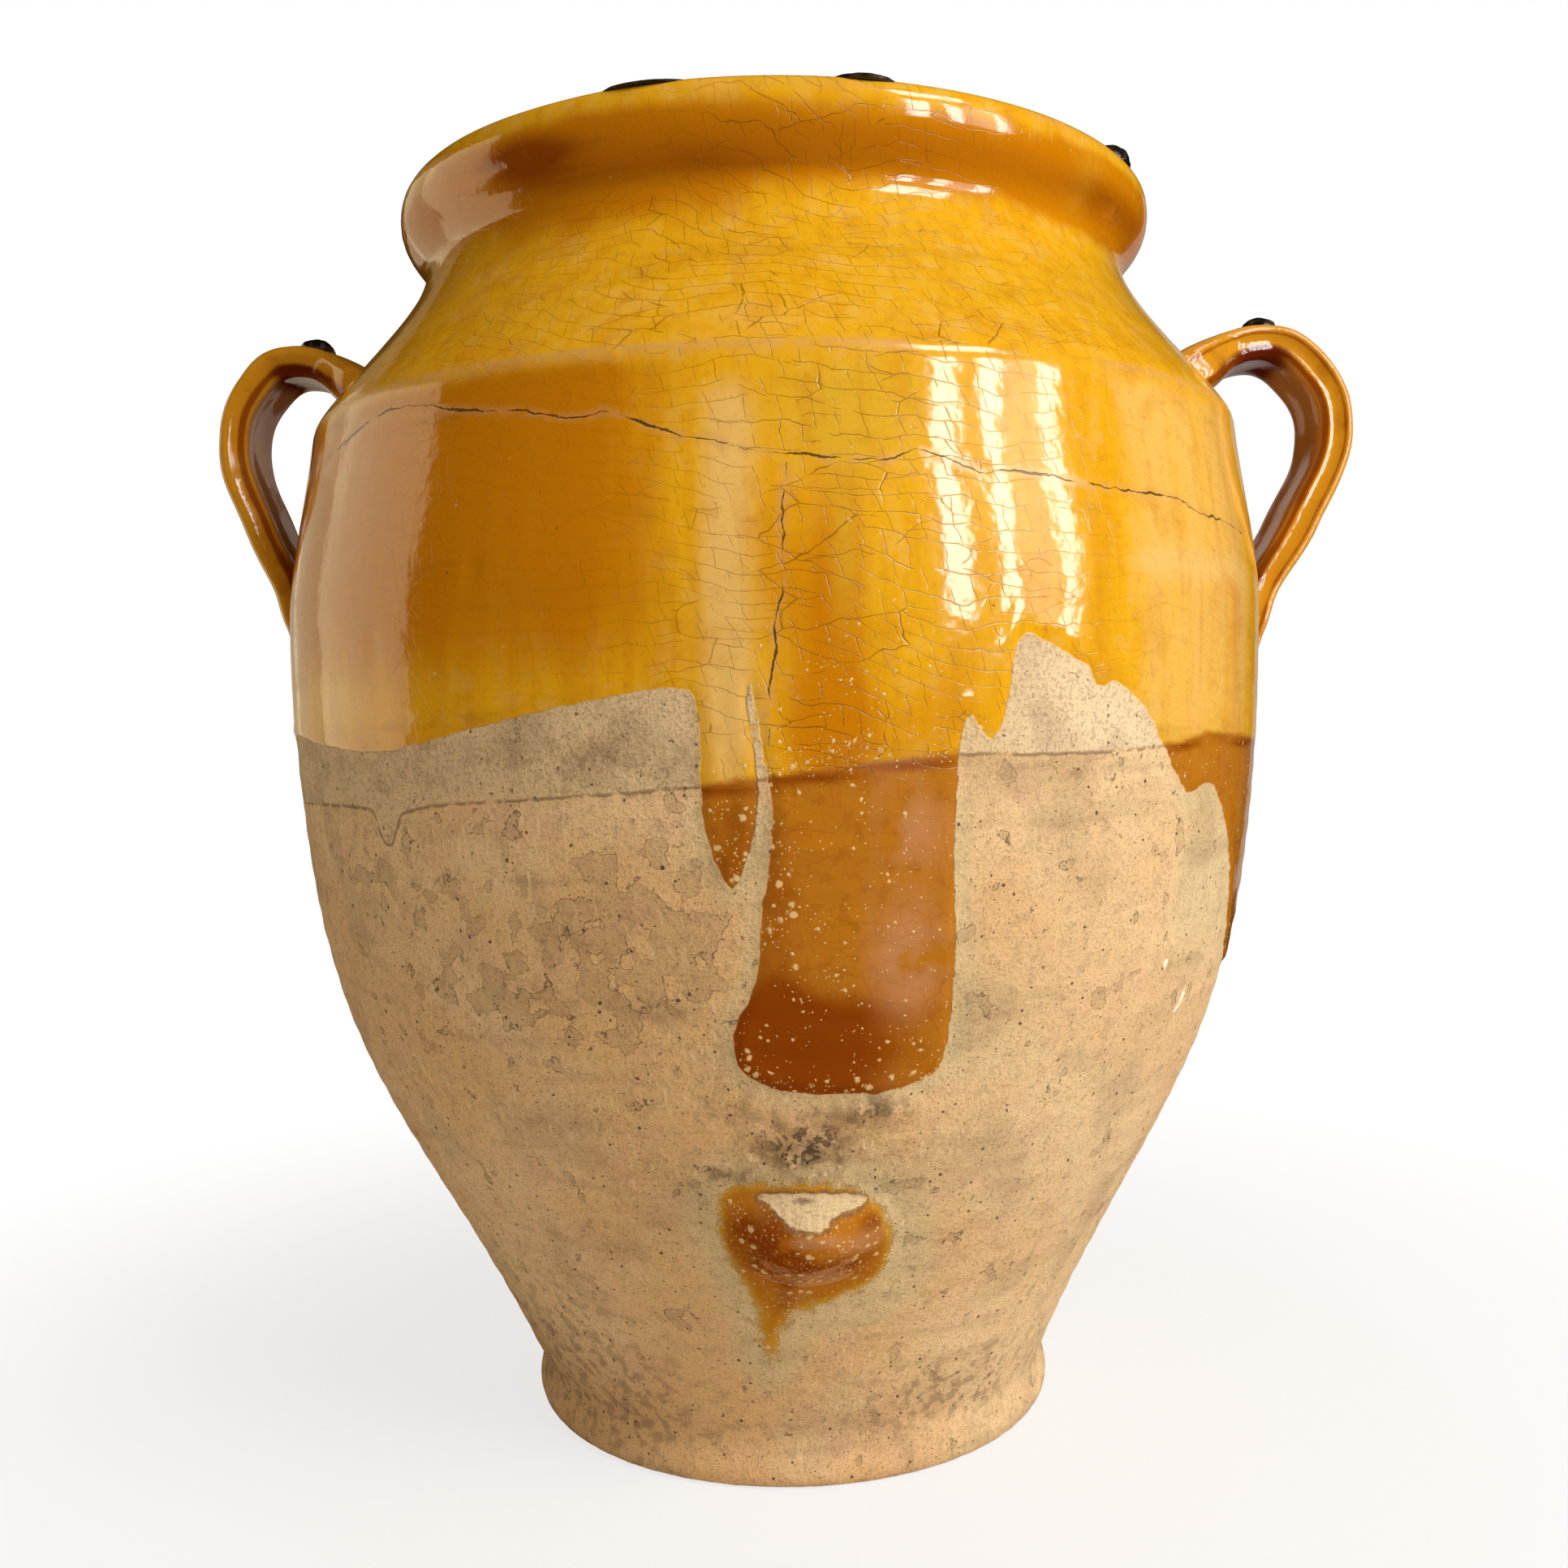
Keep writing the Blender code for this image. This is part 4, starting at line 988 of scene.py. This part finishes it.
def makeLump(name, spec):
    length, breadth, height = spec["size"]
    if "bearing" in spec:
        turn = math.radians(spec["bearing"])
        radius, top = potSizes["crest"]
        centre = Vector((radius * math.sin(turn), -radius * math.cos(turn), top - 0.2))
    else:
        turn = 0.0
        centre = Vector((spec["at"][0], 0.0, spec["at"][1]))
    bm = bmesh.new()
    bmesh.ops.create_icosphere(bm, subdivisions=5, radius=1.0)
    for v in bm.verts:
        rough = 1 + 0.08 * noise.fractal(v.co * 1.1 + centre, 0.6, 2.0, 3)
        flat = v.co.z if v.co.z > 0 else v.co.z * 0.5
        v.co = Vector((v.co.x * length / 2, v.co.y * breadth / 2, flat * height)) * rough
    seat = Matrix.Translation(centre) @ Matrix.Rotation(turn, 4, "Z")
    bmesh.ops.transform(bm, matrix=seat, verts=bm.verts)
    lump = asObject(bm, name)
    settle(lump.data, coordsOf(lump.data))
    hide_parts(spec["node"])
    return lump


def slagMaterial():  # vitrified ash: near black and glassy, with dull brown crust
    material = bpy.data.materials.new("vitrified_black_kiln_slag")
    tree = freshTree(material)
    place = addNode(tree, "TexCoord").outputs["Object"]
    crust = addNode(tree, "TexNoise", Vector=place, Scale=1 / (2.2 * mm), Detail=4.0).outputs[0]
    dull = addNode(tree, "MapRange", Value=crust, From_Min=0.5, From_Max=0.68).outputs[0]
    colour = addNode(tree, "Mix", {"data_type": "RGBA"}, s0=dull, s6=linear("#1c1611"),
                     s7=linear("#4b3826")).outputs[2]
    rough = addNode(tree, "MapRange", Value=crust, From_Min=0.4, From_Max=0.7, To_Min=0.15,
                    To_Max=0.6).outputs[0]
    normal = addNode(tree, "Bump", Strength=0.8, Distance=0.3 * mm, Height=crust).outputs[0]
    shader = addNode(tree, "BsdfPrincipled", Base_Color=colour, Roughness=rough, Normal=normal, IOR=1.55)
    addNode(tree, "OutputMaterial", Surface=shader.outputs[0])
    return material


# The kiln scar: a boss fused to the wall under one glaze, with its brow knocked off to
# pale clay. It is a skin that swells out of the wall and sinks under it all round.
scarSizes = {
    "bearing": 2.8,
    "height": 68.5,
    "halfWidth": 23.5,      # of the swelling, in mm along the wall
    "halfHeight": 18.5,
    "proud": 5.8,
    "sunk": 0.07,           # how far the skin's edge lies under the wall
    "lift": 0.20,           # how far the rest of it is raised
    "backing": 2.2,         # depth of the closed back below the wall's surface
    "breakDepth": 1.1,      # of the broken face below the brow
    "segments": (150, 130),
}
brokenFace = [  # outline of the break, bearing and height
    (-3.5, 80), (-2, 81), (3, 81), (6.5, 80.5), (9.5, 79.5), (10, 78.5), (8.5, 77.5), (6, 77),
    (4.5, 75.5), (1, 75.5), (0, 76.5), (-1.5, 78.5),
]


def makeScar():
    s = scarSizes
    bm = bmesh.new()
    bmesh.ops.create_grid(bm, x_segments=s["segments"][0], y_segments=s["segments"][1], size=1.25)
    skin = bm.faces[:]
    doubled = bmesh.ops.extrude_face_region(bm, geom=skin, use_keep_orig=True)["geom"]
    for v in doubled:
        if isinstance(v, bmesh.types.BMVert):
            v.co.z = 0.1
    bmesh.ops.recalc_face_normals(bm, faces=bm.faces)
    scar = asObject(bm, "broken_kiln_scar")
    mesh = scar.data
    co = coordsOf(mesh)
    across, up, front = co[:, 0], co[:, 1], co[:, 2] > 0.05
    height = s["height"] + up * s["halfHeight"]
    profile = outerProfile(potSizes["outerStep"])
    heights = [p.y for p in profile]
    radius = np.interp(height, heights, [p.x for p in profile])
    outR, outZ = (np.interp(height, heights, way) for way in outward(profile).T)
    turn = math.radians(s["bearing"]) + across * s["halfWidth"] / radius
    bearing = np.degrees(turn)
    outside = np.ones(len(co), bool)
    fields, standOff = coats(bearing, height, radius, outside, ~outside)

    # a flat-topped swelling, fullest just under its brow
    away = np.hypot(across * 1.04, np.where(up > 0.15, (up - 0.15) * 1.5, (up - 0.15) * 0.92))
    swelling = s["proud"] * (1 - smooth(0.15, 1.05, away)) ** 1.7
    laid = co * (s["halfWidth"], s["halfHeight"], 1)
    swelling += 0.30 * noiseAt(laid, 9, 2, 6) * smooth(0.0, 5.0, swelling)
    flat = (s["proud"] - s["breakDepth"]) * (1 - 0.5 * smooth(74, 82, height))
    rough = 0.25 * noiseAt(laid, 1.6, 3, 7)
    broken = smooth(-0.15, 0.5, fields["brokenFace"])
    level = swelling + (np.minimum(swelling - 0.4, flat) + rough - swelling) * broken
    # over its glaze the skin lies on the wall, so that it dips under only in the clay around
    lift = s["lift"] * smooth(-4.0, 0.0, fields["scarEdge"])
    lift *= smooth(1.2, 0.9, np.abs(up)) * smooth(1.2, 0.9, np.abs(across))
    out = np.where(front, standOff + level + lift - s["sunk"], -s["backing"])
    settle(mesh, roundAxis(radius + out * outR + ovalAt(turn, height), turn, height + out * outZ))
    fields.update(unrolled(bearing, np.interp(height, heights, climbed(profile))))
    for name, values in fields.items():
        keepLayer(mesh, name, values)
    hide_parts("kiln_scar")
    print("scar laid on the wall:", len(mesh.polygons), "faces")
    return scar


# Camera at the photograph's angle, soft light from the right, a pale panel at the left
camera = {
    "place": (0.0, -0.411, 0.1781),
    "pitch": -2.35,
    "roll": -1.00,
    "yaw": 0.02,
    "lens": 34.58,
    "sensor": 36.0,
}
lamps = {  # bearing from the front, height above the floor, distance, size, power, in gloss, colour
    "key_right": (52, 1.0, 1.25, (0.8, 0.7), 20.5, False, "#fffaf3"),
    "panel_left": (-100, 0.28, 0.9, (0.58, 0.80), 2.1, True, "#ffefc8"),
    "panel_back": (-129, 0.28, 0.9, (0.35, 0.80), 0.6, True, "#ffefc8"),
    "veil_back": (-152, 0.16, 0.9, (0.45, 0.50), 0.35, True, "#ffe9c8"),
    "window_top": (48, 1.12, 1.0, (0.42, 0.25), 3.4, True, "#ffffff"),
    "veil_left": (-130, 0.62, 0.9, (0.6, 0.3), 0.10, True, "#ffe9b8"),
    "veil_right": (160, 0.30, 0.9, (0.6, 0.6), 0.40, True, "#fff6ea"),
}
lampAim = (0, 0, 0.2)
window = {  # the tall window that the shoulder mirrors: panes as bearing, width and radiance
    "panes": ((37.9, 0.103, 13.0), (48.7, 0.070, 14.0), (56.0, 0.130, 2.6), (62.8, 0.070, 12.0)),
    "rows": ((0.485, 0.49),),
    "far": 1.0,
}
roomGlow = {"matt": 0.42, "glossy": 0.004}   # what the pot's matt and glossy parts get from the room
floorSizes = {
    "radius": 0.75,
    "drop": 0.0002,         # how far it lies under the pot's base
    "fade": (0.10, 0.36),   # where it fades to the white beyond
    "white": 0.74,          # share of white that it starts with
}


# each lamp lights matt or glossy parts, not both
def addLamp(name, bearing, rise, far, size, power, glossy, colour):
    data = bpy.data.lights.new(name, "AREA")
    data.shape = "RECTANGLE"
    data.size, data.size_y = size
    data.energy = power
    data.color = linear(colour)[:3]
    lamp = bpy.data.objects.new(name, data)
    turn = math.radians(bearing)
    lamp.location = (far * math.sin(turn), -far * math.cos(turn), rise)
    aim = Vector(lampAim) - lamp.location
    lamp.rotation_euler = aim.to_track_quat("-Z", "Y").to_euler()
    lamp.visible_glossy = glossy
    lamp.visible_diffuse = not glossy
    bpy.context.scene.collection.objects.link(lamp)


def makeStudio():
    c = camera
    data = bpy.data.cameras.new("photo_view")
    data.sensor_fit = "HORIZONTAL"
    data.sensor_width = c["sensor"]
    data.lens = c["lens"]
    view = bpy.data.objects.new("photo_view", data)
    turned = Matrix.Rotation(-math.radians(c["yaw"]), 4, "Z")
    turned = turned @ Matrix.Rotation(math.radians(90 + c["pitch"]), 4, "X")
    turned = turned @ Matrix.Rotation(math.radians(c["roll"]), 4, "Z")
    view.matrix_world = Matrix.Translation(c["place"]) @ turned
    bpy.context.scene.collection.objects.link(view)
    bpy.context.scene.camera = view

    for name, lamp in lamps.items():
        addLamp(name, *lamp)
    for i, (bearing, width, radiance) in enumerate(window["panes"]):
        for j, (rise, tall) in enumerate(window["rows"]):
            power = radiance * math.pi * width * tall
            addLamp(f"pane_{i}_{j}", bearing, rise, window["far"], (width, tall), power, True, "#ffffff")

    # the world is white to the camera and dim to the rest
    world = bpy.data.worlds.new("studio")
    bpy.context.scene.world = world
    tree = freshTree(world)
    rays = addNode(tree, "LightPath").outputs
    room = addNode(tree, "Background", Color=linear("#ffebcc"), Strength=roomGlow["matt"])
    dark = addNode(tree, "Background", Color=linear("#fff4e6"), Strength=roomGlow["glossy"])
    white = addNode(tree, "Background", Color=(1, 1, 1, 1), Strength=1.0)
    lit = addNode(tree, "MixShader", s0=rays["Is Glossy Ray"], s1=room.outputs[0], s2=dark.outputs[0])
    seen = addNode(tree, "MixShader", s0=rays["Is Camera Ray"], s1=lit.outputs[0], s2=white.outputs[0])
    addNode(tree, "OutputWorld", Surface=seen.outputs[0])

    s = floorSizes
    bm = bmesh.new()
    bmesh.ops.create_circle(bm, cap_ends=True, segments=96, radius=s["radius"])
    floor = asObject(bm, "pale_floor")
    floor.location = (0, 0, -s["drop"])
    material = bpy.data.materials.new("pale_matt_floor")
    tree = freshTree(material)
    rays = addNode(tree, "LightPath").outputs
    matt = addNode(tree, "BsdfDiffuse", Color=linear("#e9e6e1"))
    glow = addNode(tree, "Emission", Color=(1, 1, 1, 1), Strength=1.0)
    # fades to the white beyond, so that only the pot's own shadow shows
    place = addNode(tree, "TexCoord").outputs["Object"]
    far = addNode(tree, "VectorMath", {"operation": "LENGTH"}, s0=place).outputs["Value"]
    fade = addNode(tree, "MapRange", {"interpolation_type": "SMOOTHSTEP"}, Value=far, From_Min=s["fade"][0],
                   From_Max=s["fade"][1], To_Min=s["white"], To_Max=1.0).outputs[0]
    share = addNode(tree, "Math", {"operation": "MULTIPLY"}, s0=rays["Is Camera Ray"], s1=fade).outputs[0]
    seen = addNode(tree, "MixShader", s0=share, s1=matt.outputs[0], s2=glow.outputs[0])
    addNode(tree, "OutputMaterial", Surface=seen.outputs[0])
    floor.data.materials.append(material)
    floor.visible_glossy = False    # the underside of the rim would mirror it pink
    print("studio set")


makeStudio()

ware = wareMaterial()
body = makeBody()
body.data.materials.append(ware)
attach(body, "root")
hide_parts("pot_body")

strapGlaze = strapMaterial()
for name in ("left", "right"):
    handle = makeStrap(name)
    handle.data.materials.append(strapGlaze)
    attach(handle, "root")
    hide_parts(name + "_handle")

slag = slagMaterial()
for name, spec in slagLumps.items():
    lump = makeLump(name, spec)
    lump.data.materials.append(slag)
    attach(lump, "root")
print("slag lumps set:", len(slagLumps))

scar = makeScar()
scar.data.materials.append(ware)
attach(scar, "root")

bpy.context.scene.view_settings.view_transform = "Standard"
